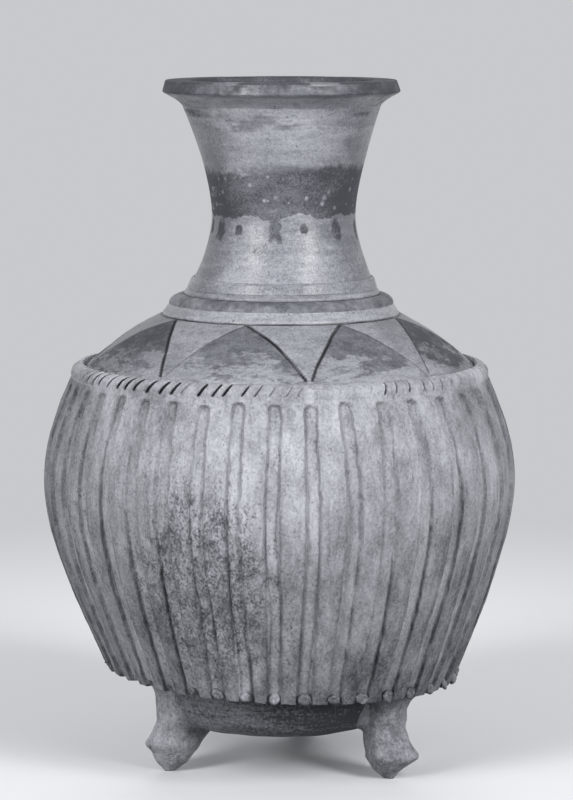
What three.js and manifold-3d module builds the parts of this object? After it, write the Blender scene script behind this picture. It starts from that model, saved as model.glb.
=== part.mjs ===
// Tripod jar in low-fired grey clay, built the way a potter builds one: a dished base on three
// pinched feet, a gouged and fluted wall, a shoulder dome, a flared neck and a heavy lip, each
// raised as its own piece and luted to the next with a rebate and a roll of soft clay.
// Millimetres, +Z up. The origin is on the floor, under the middle of the belly.
// The photographed front faces -Y.

import * as THREE from "three";
import { mergeVertices } from "three/addons/utils/BufferGeometryUtils.js";
import Module from "manifold-3d";

const wasm = await Module();
wasm.setup();

// Clearances, wall thicknesses and fineness
const fitGap = 0.3; // slip line between two luted pieces
const wallThickness = 7;
const neckThickness = 6;
const roundSegments = 44; // facets round a turned piece

// Base: a shallow dish whose flange sits on the inturned foot of the wall
const baseClearance = 24; // floor to the underside of the dish
const bowlRadius = 66;
const bowlDepth = 26.6; // underside of the wall down to the underside of the dish
const bowlFlatRadius = 46;
const bowlThickness = 7;
const flangeWidth = 8;
const flangeThickness = 6;

// Wall: the fluted belly, from its sharp lower corner to the top that carries the shoulder
const wallFootThickness = 7;
const wallFootWidth = 17.3; // edge of the flange to the lower corner
const bellyRise = 101.4; // lower corner to the widest girth
const bellyTopRise = 54; // widest girth to the top of the wall
const bellyBulge = 14.2; // how far the widest girth stands out beyond the top
const wallRimDepth = 6.5; // upright stretch inside the top of the wall

// Flutes, gouged down the wall from just under its top to its lower corner
const fluteCount = 40;
const fluteWidth = 5.6;
const fluteDepth = 1.7;
const fluteFloorWidth = 2.6;
const fluteTopMargin = 1.2; // top of the wall to the start of a flute
const fluteRunIn = 3; // length in which the gouge sinks to full depth
const fluteDrift = THREE.MathUtils.degToRad(6.2); // cut by eye, so they crowd on one side
const fluteDriftTurn = THREE.MathUtils.degToRad(-10);
const curlRadius = 2.7; // clay that the gouge rolled down to the end of its channel

// Shoulder dome, with the incised ring and the rounded moulding at its top
const domeEdgeRadius = 101.8;
const domeSkirt = 5; // upright edge of the dome outside, above the top of the wall
const domeInnerSkirt = 4.2; // the same edge inside, where a roll of clay covers the seam
const domeRise = 32.6; // top of the wall to the incised ring
const bandWidth = 3.6; // pale band between the incised ring and the moulding
const bandRise = 5.3;
const mouldingWidth = 7.6;
const mouldingRise = 5.3;
const seatDepth = 7; // rebate that takes the foot of the neck
const seatThickness = 5;

// Notched cordon round the edge of the shoulder
const cordonGap = 0.6; // the incised groove between dome and cordon
const cordonWidth = 6.6;
const cordonHeight = 7.4;
const cordonFace = 1.8; // upright part of its outside

// Neck with its collar
const neckFootRadius = 46.2;
const collarRise = 8.8;
const collarWidth = 4.7;
const collarTopWidth = 0.9;
const collarBead = 2.7; // height of the bead at its lower edge
const neckWaistRadius = 37.6;
const waistRise = 32; // top of the collar to the waist
const neckTopRise = 57; // waist to the seat of the lip
const neckTopSpread = 0.6; // the top of the neck flares just past the collar at its foot
const neckFootLand = 4; // upright stretch inside the foot of the neck

// Lip: a flat-topped ring with a battered face, let into the neck by a spigot
const lipHeight = 13;
const lipOverhang = 10.2; // top of the neck to the widest edge of the lip
const lipFaceHeight = 5.8;
const lipFaceBatter = 1.8;
const lipEdgeRound = 0.9;
const lipTopWidth = 12; // flat top, where a lid would rest
const lipMouthFall = 2; // the flat top turns down into the mouth
const spigotDepth = 3;
const spigotThickness = 2.4;

// Rolls of soft clay over the seams inside
const shoulderRoll = { width: 8, thickness: 3.4 };
const neckRoll = { width: 8, thickness: 2.8 };
const flangeRoll = { width: 7, height: 5 };

// Feet, pressed under the wall beside the dish. A turn of 0 faces the front, 90 faces +X.
// Inset is how far the middle of the foot lies inside the dish's radius, above and at the tip.
const feet = [
  { name: "foot_left", turn: -69, inset: 6.5, tipInset: 4.5, toeRise: 15 },
  { name: "foot_right", turn: 55, inset: -4, tipInset: -3, toeRise: 11 },
  { name: "foot_back", turn: 170, inset: 1, tipInset: 0, toeRise: 13 },
];
const footSides = 12;
const footTip = { thickness: 6.4, width: 6.4 }; // worn flat where it stands
const footKnuckle = { rise: 4.5, thickness: 17, width: 20 };
const footToe = { thickness: 25, width: 32 };
const footWaist = { rise: 29, thickness: 18, width: 23 };
const footTop = { thickness: 25, width: 36 };

// Heights that follow from the stack of pieces
const wallUnderside = baseClearance + bowlDepth;
const flangeSeat = wallUnderside + wallFootThickness;
const flangeTop = flangeSeat + flangeThickness;
const bellyHeight = wallUnderside + bellyRise;
const wallTop = bellyHeight + bellyTopRise;
const ringHeight = wallTop + domeRise;
const mouldingFoot = ringHeight + bandRise;
const shoulderTop = mouldingFoot + mouldingRise;
const neckSeat = shoulderTop - seatDepth;
const collarTop = shoulderTop + collarRise;
const waistHeight = collarTop + waistRise;
const lipSeat = waistHeight + neckTopRise;
const lipTop = lipSeat + lipHeight;

// Radii that follow from the neighbours
const flangeRadius = bowlRadius + flangeWidth;
const wallLedgeRadius = flangeRadius + fitGap;
const cornerRadius = flangeRadius + wallFootWidth;
const wallTopRadius = domeEdgeRadius + cordonGap + cordonWidth;
const bellyRadius = wallTopRadius + bellyBulge;
const domeFootInner = domeEdgeRadius - wallThickness;
const collarBore = neckFootRadius + fitGap;
const collarRadius = collarBore + collarWidth;
const mouldingRadius = collarRadius + mouldingWidth;
const ringRadius = mouldingRadius + bandWidth;
const neckTopRadius = collarRadius + neckTopSpread;
const neckFootInner = neckFootRadius - neckThickness;
const neckTopInner = neckTopRadius - neckThickness;
const spigotRadius = neckTopInner + spigotThickness;
const lipRadius = neckTopRadius + lipOverhang;
const lipTopRadius = lipRadius - lipFaceBatter;
const mouthRadius = lipTopRadius - lipTopWidth;

const slippedClay = new THREE.MeshStandardMaterial({
  color: "#a9abb2",
  roughness: 0.82,
  metalness: 0,
});
const bareClay = new THREE.MeshStandardMaterial({
  color: "#86888e",
  roughness: 0.9,
  metalness: 0,
});

// Points of a smooth curve between two profile points, without the first one. Its two handles
// are given as shares of the run and the rise between the points, which set the curve's shape.
function sweep(from, to, leave, arrive, steps) {
  const handle = ([run, rise]) =>
    new THREE.Vector2(
      THREE.MathUtils.lerp(from[0], to[0], run),
      THREE.MathUtils.lerp(from[1], to[1], rise),
    );
  const curve = new THREE.CubicBezierCurve(
    new THREE.Vector2(...from),
    handle(leave),
    handle(arrive),
    new THREE.Vector2(...to),
  );
  return curve.getPoints(steps).slice(1).map((p) => [p.x, p.y]);
}

// A solid from a geometry, its shared vertices merged and the slivers at its poles dropped
function solid(geometry) {
  geometry.deleteAttribute("normal");
  geometry.deleteAttribute("uv");
  const merged = mergeVertices(geometry, 1e-4);
  const index = merged.index.array;
  const faces = [];
  for (let i = 0; i < index.length; i += 3) {
    const [a, b, c] = index.subarray(i, i + 3);
    if (a !== b && b !== c && c !== a) faces.push(a, b, c);
  }
  return new wasm.Manifold(
    new wasm.Mesh({
      numProp: 3,
      vertProperties: merged.attributes.position.array,
      triVerts: new Uint32Array(faces),
    }),
  );
}

// A closed profile of [radius, height] points turned round the jar's axis
function turned(profile) {
  const ring = [...profile, profile[0]].map((p) => new THREE.Vector2(...p));
  if (THREE.ShapeUtils.area(ring) < 0) ring.reverse();
  return solid(new THREE.LatheGeometry(ring, roundSegments).rotateX(Math.PI / 2));
}

// A skin over stacked rings of [x, y, z] points, all with the same count, closed at both ends
function skinned(rings, bottomCentre, topCentre) {
  const count = rings[0].length;
  const points = [...rings.flat(), bottomCentre, topCentre];
  const bottom = rings.length * count;
  const last = bottom - count;
  const faces = [];
  for (let k = 0; k < count; k++) {
    const next = (k + 1) % count;
    for (let start = 0; start < last; start += count) {
      const above = start + count;
      faces.push(start + k, start + next, above + next, start + k, above + next, above + k);
    }
    faces.push(bottom, next, k, bottom + 1, last + k, last + next);
  }
  const geometry = new THREE.BufferGeometry();
  geometry.setAttribute("position", new THREE.Float32BufferAttribute(points.flat(), 3));
  geometry.setIndex(faces);
  return solid(geometry);
}

function meshOf(name, shape, material) {
  const { vertProperties, triVerts } = shape.getMesh();
  const geometry = new THREE.BufferGeometry();
  geometry.setAttribute("position", new THREE.BufferAttribute(vertProperties, 3));
  geometry.setIndex(new THREE.BufferAttribute(triVerts, 1));
  geometry.computeVertexNormals();
  const mesh = new THREE.Mesh(geometry, material);
  mesh.name = name;
  return mesh;
}

// Outside of the wall, from its lower corner up to its top
function wallOutline() {
  const corner = [cornerRadius, wallUnderside];
  const widest = [bellyRadius, bellyHeight];
  const top = [wallTopRadius, wallTop];
  const lower = sweep(corner, widest, [0.46, 0.33], [1, 0.72], 6);
  const upper = sweep(widest, top, [0, 0.42], [0.62, 0.76], 4);
  return [corner, ...lower, ...upper];
}

// The radius of an outline at a height
function radiusAt(outline, height) {
  const above = Math.max(1, outline.findIndex((p) => p[1] >= height));
  const [[r0, z0], [r1, z1]] = [outline[above - 1], outline[above]];
  return THREE.MathUtils.mapLinear(height, z0, z1, r0, r1);
}

// The angle of a flute, counted round from +X
function fluteTurn(i) {
  const even = ((i + 0.5) / fluteCount) * 2 * Math.PI;
  return even + fluteDrift * Math.sin(even - fluteDriftTurn);
}

// The outside of the wall with its flutes cut in, as a solid without its hollow
function flutedBody() {
  const outline = wallOutline();
  const start = wallTop - fluteTopMargin;
  const full = start - fluteRunIn;
  const levels = [
    ...outline.filter((p) => p[1] < full - fluteRunIn).map((p) => [...p, fluteDepth]),
    [radiusAt(outline, full), full, fluteDepth],
    [radiusAt(outline, start), start, 0],
    [wallTopRadius, wallTop, 0],
  ];
  const columns = [
    [-fluteWidth / 2, 0],
    [-fluteFloorWidth / 2, 1],
    [fluteFloorWidth / 2, 1],
    [fluteWidth / 2, 0],
  ];
  const flutes = Array.from({ length: fluteCount }, (_, i) => fluteTurn(i));
  const rings = levels.map(([radius, height, depth]) =>
    flutes.flatMap((turn) =>
      columns.map(([offset, cut]) => {
        const angle = turn + offset / radius;
        const r = radius - cut * depth;
        return [r * Math.cos(angle), r * Math.sin(angle), height];
      }),
    ),
  );
  return skinned(rings, [0, 0, wallUnderside], [0, 0, wallTop]);
}

// The space inside the wall: the bore of its foot, the ledge for the flange, and the belly
function wallHollow() {
  const past = wallFootThickness;
  const boreRadius = bowlRadius + fitGap;
  const ledge = [wallLedgeRadius, flangeTop + fitGap];
  const widest = [bellyRadius - wallThickness, bellyHeight];
  const rim = [domeFootInner, wallTop - wallRimDepth];
  return turned([
    [0, wallUnderside - past],
    [boreRadius, wallUnderside - past],
    [boreRadius, flangeSeat],
    [wallLedgeRadius, flangeSeat],
    ledge,
    ...sweep(ledge, widest, [0.75, 0.2], [1, 0.7], 5),
    ...sweep(widest, rim, [0, 0.5], [0.5, 0.75], 4),
    [domeFootInner, wallTop + past],
    [0, wallTop + past],
  ]);
}

function flutedWall() {
  const shell = flutedBody().subtract(wallHollow());
  const height = wallUnderside + curlRadius * 1.2;
  const channel = radiusAt(wallOutline(), height) - fluteDepth;
  const middle = channel + curlRadius * 0.35; // a third of the roll stands out of its channel
  const curls = Array.from({ length: fluteCount }, (_, i) => {
    const roll = new THREE.IcosahedronGeometry(curlRadius, 0);
    return solid(roll.translate(middle, 0, height).rotateZ(fluteTurn(i)));
  });
  return curls.reduce((wall, curl) => wall.add(curl), shell);
}

// Outside of the dish from the wall's underside down to the axis, grown by a clearance
function dishOutline(grow) {
  const brim = [bowlRadius + grow, wallUnderside];
  const flat = [bowlFlatRadius, baseClearance - grow];
  return [brim, ...sweep(brim, flat, [0.02, 0.55], [0.12, 1], 6), [0, flat[1]]];
}

function baseBowl() {
  const hollow = bowlRadius - bowlThickness;
  const floor = [0, baseClearance + bowlThickness];
  return turned([
    floor,
    ...sweep(floor, [hollow, flangeSeat], [0.7, 0], [1, 0.2], 6),
    [hollow, flangeTop],
    [flangeRadius, flangeTop],
    [flangeRadius, flangeSeat],
    [bowlRadius, flangeSeat],
    ...dishOutline(0),
  ]);
}

// What a foot is pressed against: the dish and the underside of the wall, with a slip line
function footSeat() {
  const roof = wallUnderside - fitGap;
  const past = footTop.thickness;
  return turned([
    [0, wallUnderside + past],
    [cornerRadius + past, wallUnderside + past],
    [cornerRadius + past, roof],
    [bowlRadius + fitGap, roof],
    ...dishOutline(fitGap).slice(1),
  ]);
}

// A pinched foot: a waisted leg that spreads out under the wall, swells to a toe and ends in a
// small worn tip
function foot({ turn, inset, tipInset, toeRise }) {
  const stations = [
    { rise: 0, ...footTip },
    footKnuckle,
    { rise: toeRise, ...footToe },
    footWaist,
    { rise: wallUnderside, ...footTop },
  ];
  const shape = new THREE.CatmullRomCurve3(
    stations.map((s) => new THREE.Vector3(s.thickness / 2, s.width / 2, s.rise)),
  );
  const sections = shape.getPoints(2 * (stations.length - 1));
  const axis = new THREE.Vector3(0, 0, 1);
  const angle = THREE.MathUtils.degToRad(turn - 90);
  const rings = sections.map(({ x: thick, y: half, z }) => {
    const middle = bowlRadius - THREE.MathUtils.lerp(tipInset, inset, z / wallUnderside);
    return Array.from({ length: footSides }, (_, k) => {
      const side = (k / footSides) * 2 * Math.PI;
      const point = new THREE.Vector3(middle + thick * Math.cos(side), half * Math.sin(side), z);
      return point.applyAxisAngle(axis, angle).toArray();
    });
  });
  const centre = (ring) => ring[0].map((v, i) => (v + ring[footSides / 2][i]) / 2);
  return skinned(rings, centre(rings[0]), centre(rings.at(-1))).subtract(footSeat());
}

function shoulderDome() {
  const seatUnder = neckSeat - seatThickness;
  const ring = [ringRadius, ringHeight];
  const edge = [domeEdgeRadius, wallTop + domeSkirt];
  const innerEdge = [domeFootInner, wallTop + domeInnerSkirt];
  const crown = [collarRadius + cordonGap, shoulderTop];
  return turned([
    [collarBore, shoulderTop],
    crown,
    ...sweep(crown, [mouldingRadius, mouldingFoot + cordonGap], [0.55, 0.05], [1, 0.4], 3),
    [mouldingRadius, mouldingFoot],
    ring,
    ...sweep(ring, edge, [0.31, 0.2], [0.67, 0.54], 6),
    [domeEdgeRadius, wallTop],
    [domeFootInner, wallTop],
    innerEdge,
    ...sweep(innerEdge, [ringRadius, ringHeight - wallThickness], [0.3, 0.42], [0.68, 0.82], 5),
    [neckFootInner, seatUnder],
    [neckFootInner, neckSeat],
    [collarBore, neckSeat],
  ]);
}

function notchedCordon() {
  const inner = domeEdgeRadius + cordonGap;
  const shoulder = [wallTopRadius, wallTop + cordonFace];
  const crest = [inner + cordonGap, wallTop + cordonHeight];
  return turned([
    [inner, wallTop],
    [wallTopRadius, wallTop],
    shoulder,
    ...sweep(shoulder, crest, [0, 0.6], [0.5, 1], 4),
    [inner, wallTop + domeSkirt],
  ]);
}

function neckCollar() {
  const bead = [collarBore + collarWidth * 0.65, shoulderTop + collarBead];
  return turned([
    [collarBore, shoulderTop],
    [collarRadius, shoulderTop],
    ...sweep([collarRadius, shoulderTop], bead, [0.1, 0.6], [0.4, 1], 2),
    [collarBore + collarTopWidth, collarTop],
    [collarBore, collarTop],
  ]);
}

function neckTube() {
  const foot = [neckFootRadius, collarTop];
  const waist = [neckWaistRadius, waistHeight];
  const top = [neckTopRadius, lipSeat];
  const rebate = lipSeat - spigotDepth - fitGap;
  const innerTop = [neckTopInner, rebate];
  const innerWaist = [neckWaistRadius - neckThickness, waistHeight];
  const innerFoot = [neckFootInner, collarTop - neckFootLand];
  return turned([
    [neckFootRadius, neckSeat],
    foot,
    ...sweep(foot, waist, [0.53, 0.3], [1, 0.72], 4),
    ...sweep(waist, top, [0, 0.27], [0.57, 0.72], 5),
    [spigotRadius + fitGap, lipSeat],
    [spigotRadius + fitGap, rebate],
    innerTop,
    ...sweep(innerTop, innerWaist, [0.43, 0.28], [1, 0.73], 4),
    ...sweep(innerWaist, innerFoot, [0, 0.4], [0.9, 0.7], 3),
    [neckFootInner, neckSeat],
  ]);
}

function lipRing() {
  const faceFoot = [lipRadius, lipTop - lipFaceHeight];
  const underEdge = [lipRadius - lipEdgeRound, lipTop - lipFaceHeight - lipEdgeRound];
  return turned([
    [mouthRadius, lipTop],
    [lipTopRadius - lipEdgeRound, lipTop],
    [lipTopRadius, lipTop - lipEdgeRound],
    faceFoot,
    underEdge,
    ...sweep(underEdge, [neckTopRadius, lipSeat], [0.4, 0.3], [0.8, 0.6], 3),
    [spigotRadius, lipSeat],
    [spigotRadius, lipSeat - spigotDepth],
    [neckTopInner, lipSeat - spigotDepth],
    [neckTopInner, lipSeat],
    [mouthRadius - lipEdgeRound, lipTop - lipMouthFall],
  ]);
}

// Half-round roll of clay pressed over a seam, on an upright face inside the jar
function seamRoll(radius, height, { width, thickness }) {
  const lower = [radius, height - width / 2];
  const crown = [radius - thickness, height];
  const upper = [radius, height + width / 2];
  return turned([
    lower,
    ...sweep(lower, crown, [0.55, 0], [1, 0.45], 2),
    ...sweep(crown, upper, [0, 0.55], [0.45, 1], 2),
  ]);
}

// Roll of clay in the angle between the flange and the wall
function angleRoll({ width, height }) {
  const heel = [flangeRadius - width, flangeTop];
  const crest = [flangeRadius, flangeTop + height];
  return turned([heel, [flangeRadius, flangeTop], crest, ...sweep(crest, heel, [0.7, 0], [1, 0.5], 4)]);
}

const jar = new THREE.Group();
jar.add(
  meshOf("base_bowl", baseBowl(), bareClay),
  meshOf("fluted_wall", flutedWall(), slippedClay),
  meshOf("shoulder_dome", shoulderDome(), slippedClay),
  meshOf("notched_cordon", notchedCordon(), slippedClay),
  meshOf("neck_collar", neckCollar(), slippedClay),
  meshOf("neck_tube", neckTube(), slippedClay),
  meshOf("lip_ring", lipRing(), slippedClay),
  meshOf("base_luting_roll", angleRoll(flangeRoll), bareClay),
  meshOf("shoulder_luting_roll", seamRoll(domeFootInner - fitGap, wallTop, shoulderRoll), bareClay),
  meshOf("neck_luting_roll", seamRoll(neckFootInner - fitGap, neckSeat, neckRoll), bareClay),
  ...feet.map((place) => meshOf(place.name, foot(place), bareClay)),
);

export default jar;
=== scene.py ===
import math

import bmesh
import bpy
import numpy as np
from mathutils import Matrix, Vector, noise

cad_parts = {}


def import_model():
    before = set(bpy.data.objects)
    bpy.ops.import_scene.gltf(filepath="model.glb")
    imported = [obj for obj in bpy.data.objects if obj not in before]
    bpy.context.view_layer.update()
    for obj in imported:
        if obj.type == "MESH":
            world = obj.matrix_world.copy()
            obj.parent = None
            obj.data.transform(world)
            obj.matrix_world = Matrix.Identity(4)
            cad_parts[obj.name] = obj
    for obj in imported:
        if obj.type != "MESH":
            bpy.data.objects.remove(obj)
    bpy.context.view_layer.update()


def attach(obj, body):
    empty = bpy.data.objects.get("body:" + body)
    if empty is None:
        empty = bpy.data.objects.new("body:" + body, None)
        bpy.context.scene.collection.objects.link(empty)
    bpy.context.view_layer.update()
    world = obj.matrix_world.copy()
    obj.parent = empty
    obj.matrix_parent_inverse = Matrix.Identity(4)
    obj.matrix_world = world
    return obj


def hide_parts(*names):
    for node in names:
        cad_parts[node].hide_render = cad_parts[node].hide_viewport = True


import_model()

MM = 0.001
FULL_TURN = 2 * math.pi

# Turned outline: radii and heights from the dish up to the lip
DISH_UNDER, DISH_FLAT, DISH_RIM = 24.0, 46.0, 66.0
WALL_UNDER, FLANGE_SEAT, FLANGE_TOP = 50.6, 57.6, 63.6
FLANGE_RADIUS = 74.0
CORNER_RADIUS = 91.3
BELLY_RADIUS, BELLY_HEIGHT = 123.2, 152.0
WALL_TOP_RADIUS, WALL_TOP = 109.0, 206.0
DOME_EDGE, DOME_FOOT, DOME_INNER = 101.8, 211.0, 94.8
RING_RADIUS, RING_HEIGHT = 62.4, 238.6
MOULDING_RADIUS, MOULDING_FOOT = 58.8, 243.9
SHOULDER_TOP, NECK_SEAT = 249.2, 242.2
COLLAR_RADIUS, COLLAR_BORE, COLLAR_TOP = 51.2, 46.5, 258.0
NECK_FOOT, NECK_FOOT_INNER = 46.2, 40.2
WAIST_RADIUS, WAIST_INNER, WAIST_HEIGHT = 37.6, 31.6, 290.0
NECK_TOP, NECK_TOP_INNER, LIP_SEAT = 51.8, 45.8, 347.0
LIP_RADIUS, LIP_TOP_RADIUS, MOUTH_RADIUS, LIP_TOP = 62.0, 60.2, 48.2, 360.0
SPIGOT_RADIUS, SPIGOT_DEPTH = 48.2, 3.0
SEAM = 0.3  # slip line between two luted pieces
THICKNESS = 7.0  # of the walls

# Flutes and the curls of clay at their ends
FLUTE_COUNT = 40
FLUTE_HALF = 3.25
FLUTE_DEPTH = 1.85
FLUTE_TOP = 204.0
BROADENS_FROM, BROADENS_TO, BROADENS_BY = 200.0, 150.0, 1.2  # heights, and how much wider
DRIFT, DRIFT_TURN = math.radians(6.2), math.radians(-10)  # cut by eye, crowding on one side
RUBBED_CURLS = -62  # azimuth about which the curls are nearly rubbed away
NICK_COUNT = 92
FAINT_NICKS = 16  # azimuth about which the nicks are hardly pressed
LAND = 0.8  # level of the uncut clay in the curves that give a cut its section
# azimuth, lowest and highest point and weight of the flutes' edges that caught black dirt
DIRTY_EDGES = [(-46, 54, 78, 0.8), (-44, 146, 166, 0.6), (-32, 50, 128, 1.0), (-21, 86, 118, 0.8),
               (-11, 60, 84, 0.5), (29, 64, 104, 1.0), (39, 86, 124, 0.9), (49, 120, 156, 0.8),
               (57, 96, 136, 0.6), (101, 60, 120, 0.7), (143, 90, 150, 0.8), (196, 54, 110, 0.8),
               (238, 100, 160, 0.7)]

# Painted band and tongues of dark slip on the neck, and the bare specks in the band
BAND_FOOT, BAND_TOP = 290.5, 316.0
SPECK_COUNT = 60
TONGUE_HALF = 2.8
# azimuth, height of the middle, height and share of the width of each tongue
TONGUES = [(-75, 285, 9, 1.0), (-57, 284, 11, 1.45), (-36, 284.5, 6.5, 0.9), (-6, 285, 13, 1.35),
           (16, 285, 5.5, 0.8), (45, 284, 10.5, 1.3), (76, 284, 9, 1.0), (101, 285, 9, 1.1),
           (127, 284, 10, 1.2), (150, 284, 8, 0.9), (174, 285, 9, 1.0), (200, 284, 10, 1.2),
           (227, 285, 8, 0.8), (254, 284, 9, 1.1)]

# Triangles on the shoulder: azimuths of the corners at their feet and of their tops, and how
# heavily each left and right side is scored
TRIANGLES = [
    (-83, -58.5, -37, 0.6, 1.0),
    (-37, -16.2, 8.7, 0.4, 1.0),
    (8.7, 28.7, 49.1, 0.9, 0.5),
    (49.1, 69.1, 94, 0.6, 0.8),
    (94, 116, 139, 0.8, 0.4),
    (139, 161, 184, 0.5, 1.0),
    (184, 207, 230, 0.9, 0.5),
    (230, 254, 277, 0.4, 0.8),
]

# Stains on the wall: the middle and reach along x, y and z, and the weight
# the second stain, on the left, also darkens the wall's left edge as painted shade
STAINS = [((-40, -112, 104), (56, 60, 80), 1.0), ((-118, -45, 118), (62, 70, 95), 0.5)]

# Feet: azimuth, distance of the middle from the axis above and at the tip, height of the toe, the
# azimuth and size of the corner that the fingers pinched out of the toe, how far the web of clay
# runs in under the dish, and how much painted shade darkens the foot
FEET = [
    ("foot_left", -69, 59.5, 61.5, 14.5, -88, 2.2, 1.0, 0.0),
    ("foot_right", 55, 70.0, 69.0, 11, 88, 4.0, 0.3, 0.25),
    ("foot_back", 170, 65.0, 66.0, 13, 186, 2.6, 0.7, 0.1),
]
# half widths at the tip, the knuckle, the toe, the waist and the wall
FOOT_OUTWARD = (3.0, 7.0, 12.0, 7.4, 9.0)
FOOT_SIDEWAYS = (2.6, 6.8, 11.4, 10.6, 13.0)
FOOT_WEB = (3.0, 9.5, 17.0, 27.0, 30.0)
FOOT_KNUCKLE_RISE, FOOT_WAIST_RISE = 4.5, 27
FOOT_FILLETS = (3, 9, 18, 15)  # under the dish, behind, beside and outward


def linear(code):
    """An sRGB hex colour as linear red, green, blue and alpha."""
    parts = [int(code[i:i + 2], 16) / 255 for i in (1, 3, 5)]
    return (*[p / 12.92 if p <= 0.04045 else ((p + 0.055) / 1.055) ** 2.4 for p in parts], 1.0)


def add(tree, kind, inputs=None, **settings):
    """Adds a node, sets it up, and gives its inputs values or links from other nodes."""
    node = tree.nodes.new(kind)
    for name, value in settings.items():
        setattr(node, name, value)
    for key, value in (inputs or {}).items():
        if isinstance(key, str):
            socket = next(s for s in node.inputs if s.name == key and s.enabled)
        else:
            socket = node.inputs[key]
        if isinstance(value, bpy.types.Node):
            value = next(s for s in value.outputs if s.enabled)
        if isinstance(value, bpy.types.NodeSocket):
            tree.links.new(value, socket)
        else:
            socket.default_value = value
    return node


# Profiles and turned meshes

def sweep(start, end, leave, arrive, step):
    """Points of a smooth curve without its first one. The handles are shares of run and rise."""
    a, b = np.array(start, float), np.array(end, float)
    c, d = a + (b - a) * leave, a + (b - a) * arrive
    count = max(2, round(np.linalg.norm(b - a) * 1.1 / step))
    t = np.linspace(0, 1, count + 1)[1:, None]
    curve = (1 - t) ** 3 * a + 3 * (1 - t) ** 2 * t * c + 3 * (1 - t) * t ** 2 * d + t ** 3 * b
    return [tuple(p) for p in curve]


def profile_of(points, step):
    """A closed profile from (radius, height) or (radius, height, rounding) points, with rows
    no further apart than the step that a function of radius and height gives."""
    corners = []
    for i, point in enumerate(points):
        here = np.array(point[:2], float)
        if len(point) == 2:
            corners.append(here)
            continue
        back = np.array(points[i - 1][:2]) - here
        ahead = np.array(points[(i + 1) % len(points)][:2]) - here
        cut = min(point[2], 0.45 * np.linalg.norm(back), 0.45 * np.linalg.norm(ahead))
        start = here + back / np.linalg.norm(back) * cut
        end = here + ahead / np.linalg.norm(ahead) * cut
        for t in (0, 0.25, 0.5, 0.75, 1):
            corners.append((1 - t) ** 2 * start + 2 * (1 - t) * t * here + t ** 2 * end)
    rows = []
    for a, b in zip(corners, corners[1:] + corners[:1]):
        gap = np.linalg.norm(b - a)
        count = max(1, math.ceil(gap / step(*((a + b) / 2)) - 0.2))
        rows += [a + (b - a) * k / count for k in range(count)]
    rows = np.array(rows)
    ahead = np.roll(rows, -1, axis=0)
    area = np.sum(rows[:, 0] * ahead[:, 1] - ahead[:, 0] * rows[:, 1])
    return rows if area > 0 else rows[::-1].copy()


def even_turns(columns):
    return np.arange(columns) / columns * FULL_TURN


def placed(name, data):
    """A new object in the scene, unturned at the origin."""
    piece = bpy.data.objects.new(name, data)
    bpy.context.scene.collection.objects.link(piece)
    return piece


def mesh_piece(name, points, faces=(), edges=()):
    """An object from points in millimetres."""
    mesh = bpy.data.meshes.new(name)
    mesh.from_pydata((np.asarray(points) * MM).tolist(), edges, faces)
    mesh.update()
    return placed(name, mesh)


def turned(name, profile, turns):
    """The profile turned round the jar's axis, with a column at each turn. The turns may differ
    from row to row."""
    rows = len(profile)
    turns = np.broadcast_to(turns, (rows, np.shape(turns)[-1]))
    columns = turns.shape[1]
    radius, height = profile[:, :1], profile[:, 1:]
    points = np.stack(
        [radius * np.cos(turns), radius * np.sin(turns), height + 0 * turns], axis=-1
    ).reshape(-1, 3)
    here = np.arange(rows)[:, None] * columns + np.arange(columns)
    above = np.roll(here, -1, axis=0)
    quads = np.stack([here, np.roll(here, -1, 1), np.roll(above, -1, 1), above], axis=-1)
    return mesh_piece(name, points, quads.reshape(-1, 4).tolist())


def points_of(piece):
    flat = np.empty(len(piece.data.vertices) * 3)
    piece.data.vertices.foreach_get("co", flat)
    return flat.reshape(-1, 3) / MM


def move_points(piece, points):
    piece.data.vertices.foreach_set("co", (points * MM).ravel())


def record(piece, name, values, domain="POINT"):
    """Keeps a value for each point, or edge, where a tree or a material can read it."""
    layer = piece.data.attributes.new(name, "FLOAT", domain)
    layer.data.foreach_set("value", np.asarray(values, dtype=np.float32))


def about_axis(points):
    """The azimuth in degrees, the radius and the height of each point."""
    x, y, height = points.T
    return np.degrees(np.arctan2(x, -y)), np.hypot(x, y), height


def apart(a, b, whole=360):
    """How far one turn lies past another, the shorter way round."""
    return (a - b + whole / 2) % whole - whole / 2


def uneven(points, size, seed=0, octaves=2):
    """Smooth noise from about -1 to 1, with lumps of about the given size."""
    shift = Vector((seed * 17.3, seed * 5.1, seed * 9.7))
    return np.array([
        noise.fractal(Vector(p) + shift, 1.0, 2.0, octaves) for p in np.asarray(points) / size
    ])


def by_hand(points):
    """What hand work did to the turned form: it is a little out of round, the neck stands to
    one side, and the lower edge of the wall dips to the right."""
    x, y, z = points.T
    turn, radius = np.arctan2(y, x), np.hypot(x, y)
    oval = 0.35 * np.sin(2 * turn + 0.6 + z / 70) + 0.25 * np.sin(3 * turn - z / 45 + 2)
    radius = radius + oval * np.clip(radius / 60, 0, 1) * np.interp(z, [20, 60], [0, 1])
    lean = np.interp(z, [206, 238, 250, 265, 320, 347, 360], [0, 0.5, 1.0, 1.9, 1.9, 0.9, 0.6])
    dip = np.interp(z, [36, 50, 60, 115], [0, 1, 1, 0])
    fall = dip * (3.85 * x / CORNER_RADIUS + 0.9)
    return np.stack([radius * np.cos(turn) + lean, radius * np.sin(turn), z - fall], axis=-1)


def finish_piece(piece, material, nodes, crease=40):
    """Gives a piece its hand-made unevenness, finish and place in the frame."""
    if "paint" not in piece.data.attributes:
        record(piece, "paint", np.full(len(piece.data.vertices), -3.0))
    move_points(piece, by_hand(points_of(piece)))
    piece.data.update()
    piece.data.shade_smooth()
    piece.data.set_sharp_from_angle(angle=math.radians(crease))
    piece.data.materials.clear()
    piece.data.materials.append(material)
    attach(piece, "root")
    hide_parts(*nodes)


# Geometry node trees

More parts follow.
